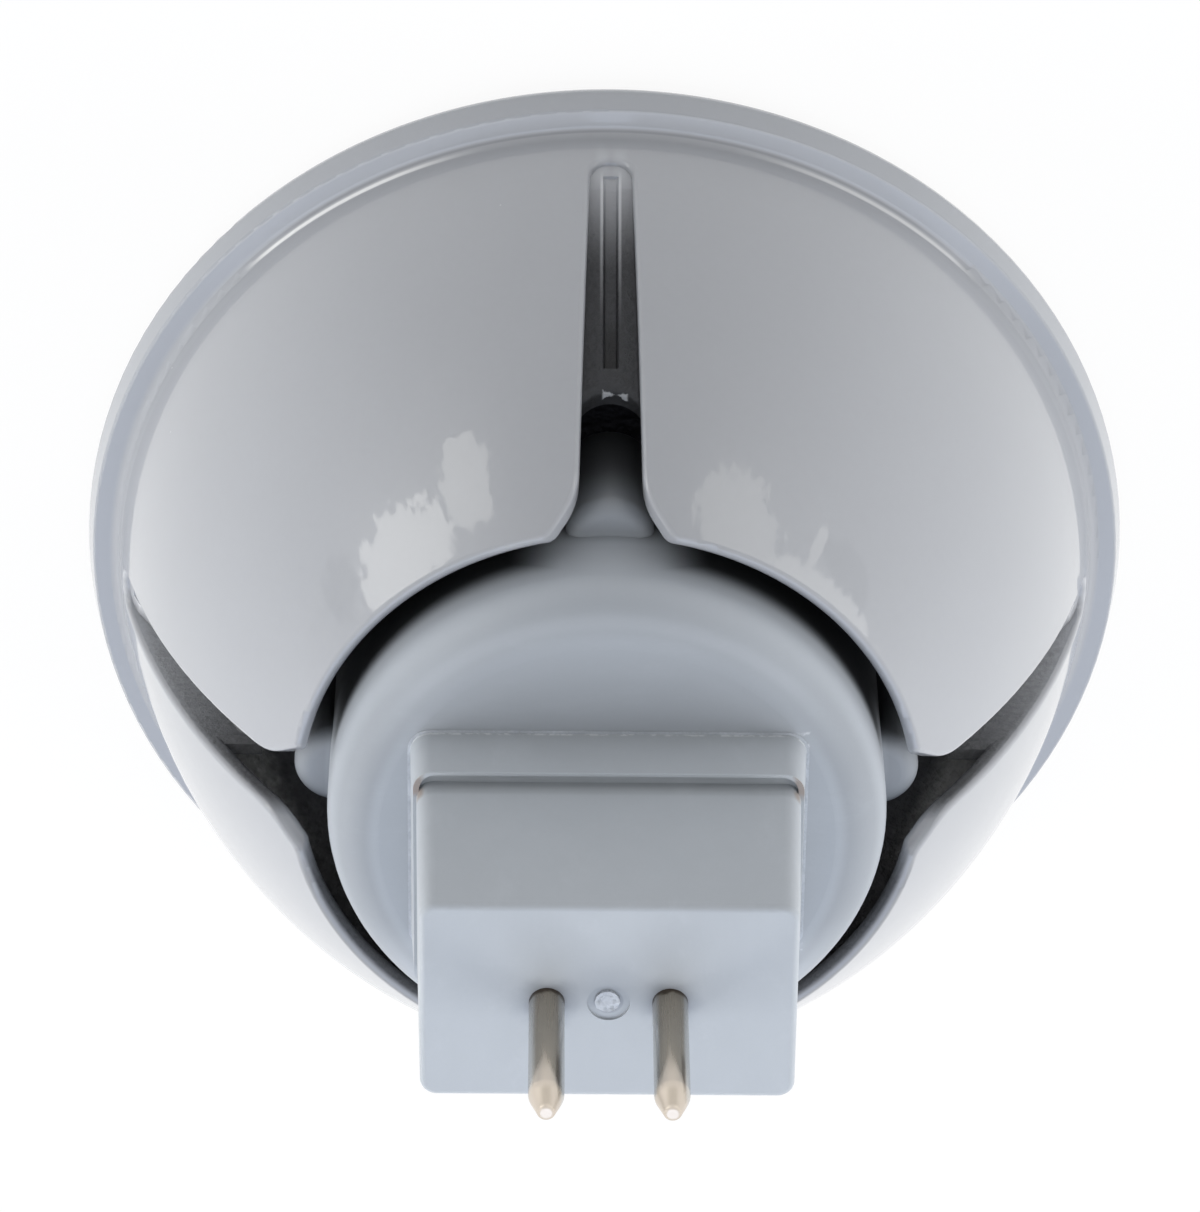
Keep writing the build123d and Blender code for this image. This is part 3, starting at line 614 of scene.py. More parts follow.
@dataclass(frozen=True)
class PlugPlastic(SatinPlastic):
    """Plastic of the plug, with stains in the groove's ends, painted shade round the pins and in the gate's
    ring, and a painted highlight on the collar's lip.
    """

    stain: Colour = tone(132, 104, 76)
    # pin_and_gate_shade_colour: painted shade colour round the pins and in the gate's ring
    pin_and_gate_shade_colour: Colour = tone(134, 140, 150)
    groove_height: float = 28.75
    groove_end: float = 8.0
    groove_side: float = 4.7
    end_height: float = 37.9
    foot_height: float = 25.78
    pin_place: float = 2.665
    pin_radius: float = 0.775
    gate_ring: float = 0.56
    collar_side: Span = (5.4, 5.6)

    def crumbs(self, surface: Surface) -> Wire:
        """Pale crumbs along the collar's foot."""
        at_foot = surface.axes[2].band(self.foot_height, 0.06, 0.08)
        return at_foot * surface.noise(0.35, 3.0).step(0.42, 0.6)

    def altered_colour(self, surface: Surface, clean: Wire) -> Wire:
        """Stains the ends of the groove, paints shade round the pins and in the gate's ring on the end face
        and at the block's foot, and a highlight on the collar's lip.
        """
        x, y, z = surface.axes
        beside = abs(x)
        blotch = surface.noise(0.8, 3.0)
        ends = z.step(self.groove_height + 0.06, self.groove_height + 0.14)
        ends = ends * (1.0 - z.step(self.groove_height + 0.5, self.groove_height + 0.9))
        ends = ends * (beside + 0.5 * blotch).step(self.groove_end + 0.3, self.groove_end + 0.6)
        ends = ends * (0.6 * blotch - y).step(self.groove_side, self.groove_side + 0.5)
        # pin_and_gate_shade: painted shade on the end face round the pin roots and in the gate's ring
        along = beside - self.pin_place
        away = (along * along + y * y).root() + 1.1 * blotch
        pin_and_gate_shade = 1.0 - away.step(self.pin_radius + 0.3, self.pin_radius + 1.5)
        on_end = z.step(self.end_height - 0.5, self.end_height - 0.2)
        pin_and_gate_shade = (pin_and_gate_shade * on_end).larger(surface.radius.band(self.gate_ring, 0.05, 0.06) * on_end)
        flow = surface.noise(1.4, 3.0, (1.0, 0.35, 1.0), 0.6)
        # lip_highlight: painted highlight on the collar's lip; foot_shade: painted shade at the foot of the
        # block
        on_collar = abs(y).step(*self.collar_side)
        lip_highlight = z.band(self.groove_height + 0.15, 0.04, 0.06) * on_collar
        foot_shade = z.band(self.groove_height + 0.3, 0.3, 0.3) * (1.0 - on_collar)
        pale = ((0.97 + 0.06 * flow) * (1.0 + 0.14 * lip_highlight - 0.1 * foot_shade)).shade(clean)
        return (pin_and_gate_shade * 0.5).mix((ends * 0.5).mix(pale, self.stain), self.pin_and_gate_shade_colour)


@dataclass(frozen=True)
class DrawnNickel(Finish):
    """Plated pin with drawing lines, painted reflections on its flanks, a browned root, painted shade on its
    upper part, a painted dark line and a painted highlight wedge up to its tip.
    """

    # brown_oxide_and_shade: brown of the oxide at the root, also used for painted shade and the painted dark
    # line
    brown_oxide_and_shade: Colour = (0.07, 0.05, 0.035)
    # flank_reflection: colour of the painted reflections on the flanks
    flank_reflection: Colour = (0.70, 0.69, 0.66)
    # lighter_mark: colour of the painted highlight wedge
    lighter_mark: Colour = (0.66, 0.585, 0.50)
    root_height: float = 37.9
    tip_height: float = 45.8
    spacing: float = 5.33
    radius: float = 0.775

    def paint(self, surface: Surface) -> None:
        """Draws the plating, its lines, the painted flank reflections, the browned root, the painted shade
        and dark line, and the painted highlight wedge.
        """
        x, _, z = surface.axes
        lines = surface.noise(0.12, 2.0, (1.0, 1.0, 0.03))
        streak = surface.noise(0.3, 2.0, (1.0, 1.0, 0.05))
        blotch = surface.noise(0.6, 3.0)
        aside = (x - x.sign() * (self.spacing / 2)) / self.radius
        # pale: painted reflection on the flanks of each pin
        pale = (abs(aside) + 0.3 * streak - 0.15).step(0.55, 0.85)
        plated = (1.04 - 0.14 * lines).shade((pale * 0.8).mix(self.colour, self.flank_reflection))
        root = 1.0 - (z + 0.7 * blotch).step(self.root_height + 0.45, self.root_height + 0.8)
        # oxide_and_shade: painted shade over the upper part of the pin, with the brown oxide at the root
        oxide_and_shade = 0.2 * (1.0 - (z + blotch).step(self.root_height, self.tip_height - 3.0))
        oxide_and_shade = (0.9 * root).larger(oxide_and_shade)
        # dark_reflection_line: painted dark reflection along one side near the tip
        dark_reflection_line = aside.band(-0.62, 0.04, 0.12) * z.step(self.tip_height - 4.0, self.tip_height - 2.6)
        plated = oxide_and_shade.larger(0.6 * dark_reflection_line).mix(plated, self.brown_oxide_and_shade)
        # highlight_wedge: painted highlight up to the tip, less metallic where brightest
        reach = 1.05 * z.step(self.tip_height - 4.4, self.tip_height - 0.2)
        highlight_wedge = (reach - abs(aside - 0.12) + 0.5 * streak - 0.25).step(-0.05, 0.3)
        highlight_wedge = highlight_wedge * (0.35 + 0.6 * z.step(self.tip_height - 3.4, self.tip_height - 1.8))
        painted_highlight = highlight_wedge * z.step(self.tip_height - 2.8, self.tip_height - 0.9)
        # highlight_gap: dims the painted highlight along the middle near the tip
        highlight_gap = aside.band(0.02, 0.12, 0.3) * z.step(self.tip_height - 1.2, self.tip_height - 0.8)
        highlight_gap = highlight_gap * (1.0 - z.step(self.tip_height - 0.25, self.tip_height - 0.1))
        surface.dress(
            base_color=(highlight_wedge * (1.0 - 0.45 * highlight_gap)).mix(plated, self.lighter_mark),
            metallic=1.0 - 0.24 * painted_highlight * (1.0 - highlight_gap),
            roughness=0.18 + 0.14 * lines + 0.2 * oxide_and_shade + 0.12 * highlight_wedge,
            normal=surface.bump(lines, 0.004),
        )


@dataclass(frozen=True)
class ClearPlastic(Finish):
    """Polished clear moulding."""

    def paint(self, surface: Surface) -> None:
        """Draws the clear plastic with a slight waviness of the moulded faces."""
        wave = surface.noise(3.5, 1.0)
        surface.dress(
            base_color=(0.985 + 0.02 * wave).shade(self.colour),
            roughness=0.015 + 0.02 * surface.noise(1.2, 2.0),
            transmission_weight=1.0,
            ior=1.49,
            normal=surface.bump(wave, 0.004),
        )


@dataclass(frozen=True)
class Grained(Finish):
    """Plain body colour with grain, for mouldings, ceramics, rubber and lacquered wire."""

    grain_mm: float = 0.3
    depth_mm: float = 0.004
    contrast: float = 0.12
    roughness: float = 0.5
    metallic: float = 0.0
    coat: float = 0.0

    def paint(self, surface: Surface) -> None:
        """Draws the body colour and its grain."""
        grain = surface.noise(self.grain_mm, 3.0)
        cloud = surface.noise(8.0 * self.grain_mm, 2.0)
        level = 1.0 - self.contrast + self.contrast * (grain + cloud)
        surface.dress(
            base_color=level.shade(self.colour),
            roughness=self.roughness - 0.06 + 0.12 * grain,
            metallic=self.metallic,
            coat_weight=self.coat,
            coat_roughness=0.08,
            normal=surface.bump(grain, self.depth_mm),
        )


@dataclass(frozen=True)
class SinkCasting(Finish):
    """Rough dark casting of the sink, with painted light beside the side slots and painted shade below the
    near trough.
    """

    # painted_light_grey: painted light beside the side slots; painted_shade_colour: painted shade below the
    # near trough
    painted_light_grey: Colour = (0.50, 0.50, 0.49)
    painted_shade_colour: Colour = (0.016, 0.016, 0.018)
    painted_light_radius: Span = (15.6, 16.9)
    painted_shade_start: Span = (13.2, 14.0)
    painted_shade_half: Span = (2.6, 3.6)

    def paint(self, surface: Surface) -> None:
        """Draws the casting, its painted light and its painted shade."""
        x, y, _ = surface.axes
        grain = surface.noise(0.45, 3.0)
        cloud = surface.noise(3.6, 2.0)
        # pale_mark: painted light on the casting beside the side slots
        pale_mark = surface.sides(3.0, 9.0) * (surface.radius + 0.5 * grain - 0.25).step(*self.painted_light_radius)
        # painted_shade: painted shade below the near trough, dark and metallic
        painted_shade = (0.0 - y).step(*self.painted_shade_start) * (1.0 - abs(x).step(*self.painted_shade_half))
        cast = pale_mark.mix(self.colour, self.painted_light_grey)
        surface.dress(
            base_color=painted_shade.mix((0.4 + 0.6 * (grain + cloud)).shade(cast), self.painted_shade_colour),
            metallic=painted_shade,
            roughness=0.56 + 0.12 * grain,
            normal=surface.bump(grain, 0.25),
        )


@dataclass(frozen=True)
class TurnedSteel(Finish):
    """Zinc-plated screw with turning lines round each of the four axes."""

    circle: float = 12.31
    line_mm: float = 0.06

    def paint(self, surface: Surface) -> None:
        """Draws the plating and its turning lines."""
        x, y, _ = surface.axes
        on_x = abs(x) - self.circle
        on_y = abs(y) - self.circle
        away = (on_x * on_x + y * y).root().smaller((x * x + on_y * on_y).root())
        rings = away.folded(self.line_mm) / self.line_mm
        haze = surface.noise(0.5, 3.0)
        surface.dress(
            base_color=(0.86 + 0.2 * haze).shade(self.colour),
            metallic=1.0,
            roughness=0.26 + 0.12 * haze + 0.06 * rings,
            normal=surface.bump(rings, 0.003),
        )


@dataclass(frozen=True)
class SourceBoard(Finish):
    """White mask on a metal-core board, with raised tracks, tinned pads and a bare metal edge."""

    metal: Colour = (0.72, 0.72, 0.72)
    circle: float = 10.3
    face: float = 9.8
    edge: float = 14.9
    track_half: float = 1.7
    lead_place: Span = (4.1, 0.15)
    lead_half: Span = (1.0, 0.8)
    pad_offset: float = 2.1
    pad_half: Span = (1.5, 0.42)

    def paint(self, surface: Surface) -> None:
        """Draws the mask, its ring track, pads and the bare edge."""
        x, y, z = surface.axes
        ring = surface.radius.band(self.circle, self.track_half, 0.06)
        track = ring * (1.0 - surface.across.band(0.0, 0.35, 0.06))
        pads = abs(x).band(self.lead_place[0], self.lead_half[0], 0.05)
        pads = pads * y.band(self.lead_place[1], self.lead_half[1], 0.05)
        turned_x = (x + y) * math.sqrt(0.5)
        turned_y = (y - x) * math.sqrt(0.5)
        for along, aside in ((turned_x, turned_y), (turned_y, turned_x)):
            pad = abs(along).band(self.circle, self.pad_half[0], 0.04)
            pads = pads.larger(pad * abs(aside).band(self.pad_offset, self.pad_half[1], 0.04))
        edge = surface.radius.step(self.edge, self.edge + 0.08)
        bare = pads.larger(z.step(self.face + 0.05, self.face + 0.1).larger(edge))
        speckle = surface.noise(0.25, 3.0)
        mask = (0.95 + 0.06 * speckle - 0.05 * track).shade(self.colour)
        surface.dress(
            base_color=bare.mix(mask, (0.85 + 0.25 * speckle).shade(self.metal)),
            metallic=bare,
            roughness=0.42 - 0.1 * bare + 0.08 * speckle,
            normal=surface.bump(track + 0.1 * speckle, 0.03),
        )


@dataclass(frozen=True)
class DriverMask(Finish):
    """Green solder mask over copper tracks."""

    track: Colour = (0.10, 0.30, 0.14)
    runs_scale: float = 420.0
    runs_width: float = 0.03

    def paint(self, surface: Surface) -> None:
        """Draws the mask and the tracks below it."""
        sockets = {"Vector": surface.coordinates(), "Scale": self.runs_scale, "Mortar Size": self.runs_width}
        runs = surface.add("ShaderNodeTexBrick", {"offset": 0.5}, sockets, out="Fac")
        grain = surface.noise(0.3, 2.0)
        surface.dress(
            base_color=runs.mix((0.85 + 0.3 * grain).shade(self.colour), self.track),
            roughness=0.3 + 0.1 * grain,
            normal=surface.bump(runs, 0.03),
        )


@dataclass(frozen=True)
class WoundWire(Finish):
    """Enamelled wire wound in close turns along Y."""

    turn_mm: float = 0.3

    def paint(self, surface: Surface) -> None:
        """Draws the turns, with a painted highlight on each turn's crown and painted shade between turns, and
        the enamel's gloss.
        """
        half = self.turn_mm / 2
        crown = surface.axes[1].folded(half) / half
        haze = surface.noise(0.6, 2.0)
        surface.dress(
            # base colour: painted highlight along each turn's crown, painted shade between turns
            base_color=(0.45 + 0.5 * crown + 0.15 * haze).shade(self.colour),
            metallic=0.85,
            roughness=0.28 + 0.1 * haze,
            normal=surface.bump(crown, 0.1),
        )


@dataclass(frozen=True)
class ShrinkSleeve(Finish):
    """Dark shrink sleeve of a can, with a pale stripe along one side and a bare metal end."""

    stripe: Colour = (0.55, 0.56, 0.58)
    metal: Colour = (0.75, 0.75, 0.76)
    end_height: float = 22.1
    stripe_place: float = 4.2
    stripe_half: float = 0.6
    stripe_side: Span = (5.5, 5.6)

    def paint(self, surface: Surface) -> None:
        """Draws the sleeve, the stripe and the can's end."""
        x, y, z = surface.axes
        stripe = abs(x).band(self.stripe_place, self.stripe_half, 0.04) * y.step(*self.stripe_side)
        end = z.step(self.end_height, self.end_height + 0.04)
        haze = surface.noise(0.8, 3.0)
        sleeve = stripe.mix((0.8 + 0.4 * haze).shade(self.colour), self.stripe)
        surface.dress(
            base_color=end.mix(sleeve, self.metal),
            metallic=end,
            roughness=0.24 + 0.12 * haze,
            normal=surface.bump(haze, 0.01),
        )


@dataclass(frozen=True)
class EndCapped(Finish):
    """Small chip part with tinned ends along X."""

    tin: Colour = (0.78, 0.78, 0.77)
    first: float = 3.15
    pitch: float = 2.2
    half: float = 0.65

    def paint(self, surface: Surface) -> None:
        """Draws the body and its tinned ends."""
        away = (surface.axes[0] - self.first).folded(self.pitch / 2)
        cap = away.step(self.half, self.half + 0.05)
        grain = surface.noise(0.2, 2.0)
        surface.dress(
            base_color=cap.mix((0.85 + 0.3 * grain).shade(self.colour), self.tin),
            metallic=cap,
            roughness=0.45 - 0.15 * cap,
            normal=surface.bump(grain, 0.006),
        )


@dataclass(frozen=True)
class PhosphorDome(Finish):
    """Yellow light-source lens, deeper in colour towards its middle."""

    pale: Colour = (0.95, 0.86, 0.45)
    circle: float = 10.3
    patch: Span = (0.5, 1.15)

    def paint(self, surface: Surface) -> None:
        """Draws the phosphor patch under the gloss of the lens."""
        x, y, _ = surface.axes
        offset = self.circle * math.sqrt(0.5)
        along = abs(x) - offset
        across = abs(y) - offset
        away = (along * along + across * across).root()
        speckle = surface.noise(0.12, 2.0)
        deep = 1.0 - (away + 0.2 * speckle).step(*self.patch)
        surface.dress(
            base_color=deep.mix(self.pale, self.colour),
            roughness=0.2 + 0.05 * speckle,
            coat_weight=1.0,
            coat_roughness=0.03,
            normal=surface.bump(speckle, 0.002),
        )


class Workbench:
    """Modelling steps that the new pieces share."""

    @staticmethod
    def clear() -> None:
        """Leaves edit mode and deselects everything."""
        if bpy.context.object is not None and bpy.context.object.mode != "OBJECT":
            bpy.ops.object.mode_set(mode="OBJECT")
        bpy.ops.object.select_all(action="DESELECT")

    @staticmethod
    def name(label: str) -> bpy.types.Object:
        """Names the object just made."""
        piece = bpy.context.object
        piece.name = label
        piece.data.name = label
        return piece

    @staticmethod
    def pick(pieces: list[bpy.types.Object]) -> None:
        """Selects pieces alone and makes the first of them active."""
        Workbench.clear()
        for piece in pieces:
            piece.select_set(True)
        bpy.context.view_layer.objects.active = pieces[0]

    @staticmethod
    def settle(piece: bpy.types.Object) -> None:
        """Applies an object's place, turn and size to its mesh."""
        Workbench.pick([piece])
        bpy.ops.object.transform_apply(location=True, rotation=True, scale=True)

    @staticmethod
    def apply(piece: bpy.types.Object) -> None:
        """Applies all of an object's modifiers."""
        Workbench.pick([piece])
        for modifier in list(piece.modifiers):
            bpy.ops.object.modifier_apply(modifier=modifier.name)

    @staticmethod
    def copy(piece: bpy.types.Object, turn: Matrix) -> bpy.types.Object:
        """Copies a piece with its own mesh, moved by a matrix."""
        twin = piece.copy()
        twin.data = piece.data.copy()
        bpy.context.collection.objects.link(twin)
        twin.data.transform(turn)
        return twin

    @staticmethod
    def join(pieces: list[bpy.types.Object]) -> bpy.types.Object:
        """Joins copies into the first of them."""
        Workbench.pick(pieces)
        bpy.ops.object.join()
        return pieces[0]

    @staticmethod
    def smooth(piece: bpy.types.Object, degrees: float) -> None:
        """Shades a piece smooth, apart from its sharper edges."""
        Workbench.pick([piece])
        bpy.ops.object.shade_smooth_by_angle(angle=math.radians(degrees))

    @staticmethod
    def crumble(piece: bpy.types.Object, label: str, grain: float, depth: float, middle: float) -> None:
        """Roughens a piece with clouds, then applies all of its modifiers.

        Args:
            piece: Piece with enough points to roughen.
            label: Name of the clouds.
            grain: Size of the clouds, in metres.
            depth: Distance between the highest and the lowest place, in metres.
            middle: Level of the clouds that stays where it is.
        """
        clouds = bpy.data.textures.new(label, "CLOUDS")
        clouds.noise_scale = grain
        rough = piece.modifiers.new(label, "DISPLACE")
        rough.texture = clouds
        rough.texture_coords = "LOCAL"
        rough.strength = depth
        rough.mid_level = middle
        Workbench.apply(piece)

    @staticmethod
    def select_none(piece: bpy.types.Object) -> None:
        """Deselects all of a piece's points, edges and faces."""
        for part in (piece.data.vertices, piece.data.edges, piece.data.polygons):
            part.foreach_set("select", [False] * len(part))

    @staticmethod
    def select_faces(piece: bpy.types.Object, low: float, axis: int = 2) -> None:
        """Selects the faces whose normal points along an axis by at least low.

        Args:
            piece: Object in object mode.
            low: Least share of the normal along the axis.
            axis: Number of the axis.
        """
        Workbench.select_none(piece)
        for face in piece.data.polygons:
            face.select = face.normal[axis] > low


def paint_nodes(names: list[str], finish: Finish) -> None:
    """Gives CAD nodes a finish.

    Args:
        names: Names of the nodes.
        finish: Finish that they share.
    """
    material = finish.material()
    for name in names:
        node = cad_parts[name]
        for slot in node.material_slots:
            slot.material = material
        LOG.info("%s finished in %s", name, finish.name)


def seat(piece: bpy.types.Object, finish: Finish) -> None:
    """Dresses a new piece and lets it ride on the lamp.

    Args:
        piece: Finished mesh.
        finish: Its finish.
    """
    piece.data.materials.clear()
    piece.data.materials.append(finish.material())
    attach(piece, "root")
    LOG.info("%s modelled in %s", piece.name, finish.name)


@dataclass
class Shell:
    """Petal shell with its lacquer."""

    lacquer: Finish = GlossLacquer("shell_lacquer", tone(157, 159, 163))

    def build(self) -> None:
        """Dresses the shell."""
        paint_nodes(["petal_shell"], self.lacquer)


@dataclass
class Housing:
    """Driver cup and base plug, with the flash along their seam and the broken gate between the pins."""

    cup: Finish = CupPlastic("cup_plastic", tone(158, 163, 169), streak_stretch=(0.35, 1.0, 1.0))
    plug: Finish = PlugPlastic("plug_plastic", tone(170, 175, 180), streak_stretch=(1.0, 1.0, 0.4),
                               roughness=0.36)
    torn: Finish = Grained("torn_gate", tone(190, 195, 202), grain_mm=0.12, depth_mm=0.03, contrast=0.2,
                           roughness=0.48)
    flash: Finish = Grained("seam_flash", tone(176, 181, 188), grain_mm=0.14, depth_mm=0.03, contrast=0.35,
                            roughness=0.55)
    flash_half: Span = (8.825 * MM, 5.84 * MM)
    flash_corner: float = 0.9 * MM
    flash_width: float = 0.13 * MM
    flash_thickness: float = 0.05 * MM
    flash_floor: float = 25.7 * MM
    flash_cuts: int = 60
    flash_grain: float = 0.3 * MM
    flash_depth: float = 0.08 * MM
    gate_radius: float = 0.55 * MM
    gate_floor: float = 37.78 * MM
    gate_height: float = 0.16 * MM
    gate_shift: Span = (0.05 * MM, -0.06 * MM)
    gate_grain: float = 0.22 * MM
    gate_depth: float = 0.16 * MM

    def build(self) -> None:
        """Dresses the mouldings and models the seam's flash and the broken gate."""
        paint_nodes(["driver_cup"], self.cup)
        paint_nodes(["base_plug"], self.plug)
        seat(self.seam_flash(), self.flash)
        seat(self.broken_gate(), self.torn)

    def seam_flash(self) -> bpy.types.Object:
        """Thin crumbly ring of flash where the plug's collar comes out of the cup.

        Returns:
            The ring.
        """
        Workbench.clear()
        bpy.ops.mesh.primitive_plane_add(size=2.0, location=(0.0, 0.0, self.flash_floor))
        ring = Workbench.name("seam_flash")
        ring.scale = (self.flash_half[0] + self.flash_width, self.flash_half[1] + self.flash_width, 1.0)
        Workbench.settle(ring)
        bpy.ops.object.mode_set(mode="EDIT")
        bpy.ops.mesh.select_all(action="SELECT")
        bpy.ops.mesh.bevel(offset=self.flash_corner + self.flash_width, segments=8, affect="VERTICES")
        bpy.ops.mesh.select_all(action="SELECT")
        bpy.ops.mesh.inset(thickness=self.flash_width)
        bpy.ops.mesh.delete(type="FACE")
        bpy.ops.object.mode_set(mode="OBJECT")
        Workbench.select_none(ring)
        for edge in ring.data.edges:
            ends = [ring.data.vertices[number].co for number in edge.vertices]
            edge.select = (ends[0] - ends[1]).length > self.flash_half[1]
        bpy.ops.object.mode_set(mode="EDIT")
        bpy.ops.mesh.select_mode(type="EDGE")
        bpy.ops.mesh.subdivide(number_cuts=self.flash_cuts)
        bpy.ops.object.mode_set(mode="OBJECT")
        thick = ring.modifiers.new("thick", "SOLIDIFY")
        thick.thickness = self.flash_thickness
        thick.offset = 1.0
        Workbench.crumble(ring, "crumbled_plastic", self.flash_grain, self.flash_depth, 0.6)
        Workbench.smooth(ring, 35.0)
        return ring

    def broken_gate(self) -> bpy.types.Object:
        """Torn stump of the sprue on the floor of the gate's recess.

        Returns:
            The stump.
        """
        Workbench.clear()
        middle = (*self.gate_shift, self.gate_floor + self.gate_height / 2)
        bpy.ops.mesh.primitive_cylinder_add(vertices=20, radius=self.gate_radius, depth=self.gate_height,
                                            location=middle)
        stump = Workbench.name("gate_stump")
        Workbench.settle(stump)
        Workbench.select_faces(stump, 0.9)
        bpy.ops.object.mode_set(mode="EDIT")
        bpy.ops.mesh.inset(thickness=0.3 * self.gate_radius)
        bpy.ops.transform.translate(value=(0.0, 0.0, -0.3 * self.gate_height))
        bpy.ops.mesh.inset(thickness=0.25 * self.gate_radius)
        bpy.ops.transform.translate(value=(0.0, 0.0, 0.15 * self.gate_height))
        bpy.ops.mesh.select_all(action="SELECT")
        bpy.ops.mesh.subdivide(number_cuts=2)
        bpy.ops.object.mode_set(mode="OBJECT")
        Workbench.crumble(stump, "torn_plastic", self.gate_grain, self.gate_depth, 0.62)
        Workbench.smooth(stump, 35.0)
        return stump


@dataclass
class Contacts:
    """The two contact pins."""

    plating: Finish = DrawnNickel("pin_nickel", (0.43, 0.38, 0.31))

    def build(self) -> None:
        """Dresses the pins."""
        paint_nodes(["contact_pin_left", "contact_pin_right"], self.plating)


@dataclass
class Optics:
    """Lens, light sources, their board and the solder on it."""

    clear: Finish = ClearPlastic("lens_clear", (0.95, 0.97, 0.98))
    ceramic: Finish = Grained("source_ceramic", (0.86, 0.86, 0.83), grain_mm=0.15, contrast=0.08,
                              roughness=0.4)
    dome: Finish = PhosphorDome("source_phosphor", (0.93, 0.68, 0.12))
    board: Finish = SourceBoard("source_board", (0.84, 0.85, 0.84))
    pad: Finish = Grained("thermal_pad", tone(118, 122, 130), grain_mm=0.5, depth_mm=0.02, roughness=0.8)
    sink: Finish = SinkCasting("sink_anodised", (0.11, 0.11, 0.113))
    screw: Finish = TurnedSteel("screw_zinc", (0.64, 0.65, 0.67))
    solder: Finish = Grained("soft_solder", (0.76, 0.76, 0.77), grain_mm=0.25, depth_mm=0.01, contrast=0.15,
                             roughness=0.26, metallic=1.0)
    board_face: float = 9.8 * MM
    source_circle: float = 10.3 * MM
    fillet_length: float = 2.8 * MM
    fillet_width: float = 0.6 * MM
    fillet_height: float = 0.42 * MM
    fillet_offset: float = 2.0 * MM
    blob_radius: float = 0.85 * MM
    blob_height: float = 0.8 * MM
    blob_x: float = 4.05 * MM
    blob_y: float = 0.15 * MM

    def build(self) -> None:
        """Dresses the optics and models the solder."""
        nodes = {"front_lens": self.clear, "led_packages": self.ceramic, "led_domes": self.dome,
                 "led_board": self.board, "thermal_pad": self.pad, "heat_sink": self.sink,
                 "assembly_screws": self.screw}
        for name, finish in nodes.items():
            paint_nodes([name], finish)
        seat(self.source_solder(), self.solder)
        seat(self.lead_solder(), self.solder)

    def source_solder(self) -> bpy.types.Object:
        """Solder fillets on both sides of each light source.

        Returns:
            The eight fillets as one piece.
        """
        Workbench.clear()
        bpy.ops.mesh.primitive_cube_add(size=1.0, location=(0.0, self.fillet_offset, -self.fillet_height / 2))
        fillet = Workbench.name("source_solder")
        fillet.scale = (self.fillet_length, self.fillet_width, self.fillet_height)
        Workbench.settle(fillet)
        Workbench.select_faces(fillet, 0.9, axis=1)
        bpy.ops.object.mode_set(mode="EDIT")
        bpy.ops.transform.resize(value=(0.92, 1.0, 0.12), center_override=(0.0, self.fillet_offset, 0.0))
        bpy.ops.mesh.select_all(action="SELECT")
        bpy.ops.mesh.subdivide(number_cuts=3)
        bpy.ops.object.mode_set(mode="OBJECT")
        rounding = fillet.modifiers.new("rounding", "BEVEL")
        rounding.width = 0.12 * MM
        rounding.segments = 3
        rounding.limit_method = "ANGLE"
        Workbench.apply(fillet)
        Workbench.smooth(fillet, 50.0)
        twin = Workbench.copy(fillet, Matrix.Rotation(math.pi, 4, "Z"))
        pair = Workbench.join([fillet, twin])
        copies = []
        for number in range(4):
            turn = Matrix.Rotation(math.radians(45 + 90 * number), 4, "Z")
            place = turn @ Matrix.Translation((self.source_circle, 0.0, self.board_face))
            copies.append(Workbench.copy(pair, place))
        bpy.data.objects.remove(pair)
        fillets = Workbench.join(copies)
        fillets.name = "source_solder"
        return fillets

    def lead_solder(self) -> bpy.types.Object:
        """Solder blobs over the ends of both leads.

        Returns:
            Both blobs as one piece.
        """
        Workbench.clear()
        bpy.ops.mesh.primitive_uv_sphere_add(segments=28, ring_count=16, radius=self.blob_radius)
        blob = Workbench.name("lead_solder")
        blob.scale = (1.0, 0.95, self.blob_height / self.blob_radius)
        blob.location = (self.blob_x, self.blob_y, self.board_face)
        Workbench.settle(blob)
        bpy.ops.object.mode_set(mode="EDIT")
        bpy.ops.mesh.select_all(action="SELECT")
        bpy.ops.mesh.bisect(plane_co=(0.0, 0.0, self.board_face), plane_no=(0.0, 0.0, 1.0), use_fill=True,
                            clear_outer=True)
        bpy.ops.object.mode_set(mode="OBJECT")
        Workbench.smooth(blob, 50.0)
        return Workbench.join([blob, Workbench.copy(blob, Matrix.Translation((-2 * self.blob_x, 0.0, 0.0)))])


@dataclass
class Driver:
    """Board, coil, cans, chips and leads inside the cup."""

    mask: Finish = DriverMask("driver_mask", (0.02, 0.16, 0.06))
    ferrite: Finish = Grained("choke_ferrite", (0.055, 0.056, 0.06), grain_mm=0.15, depth_mm=0.01,
                              contrast=0.4, roughness=0.6)
    wire: Finish = WoundWire("choke_wire", (0.72, 0.33, 0.16))
    sleeve: Finish = ShrinkSleeve("can_sleeve", (0.02, 0.022, 0.03))
    epoxy: Finish = Grained("chip_epoxy", (0.025, 0.025, 0.027), grain_mm=0.1, depth_mm=0.006, contrast=0.3,
                            roughness=0.55)
    small: Finish = EndCapped("chip_ceramic", (0.42, 0.30, 0.18))
    black: Finish = Grained("lead_black", (0.02, 0.02, 0.02), grain_mm=0.3, contrast=0.3, roughness=0.45)
    red: Finish = Grained("lead_red", (0.50, 0.03, 0.02), grain_mm=0.3, contrast=0.15, roughness=0.45)

    def build(self) -> None:
        """Dresses the driver's parts."""
        paint_nodes(["driver_board"], self.mask)
        paint_nodes(["choke_core"], self.ferrite)
        paint_nodes(["choke_winding"], self.wire)
        paint_nodes(["input_capacitor", "output_capacitor"], self.sleeve)
        paint_nodes(["rectifier", "driver_chip"], self.epoxy)
        paint_nodes(["small_chips"], self.small)
        paint_nodes(["led_lead_negative"], self.black)
        paint_nodes(["led_lead_positive"], self.red)


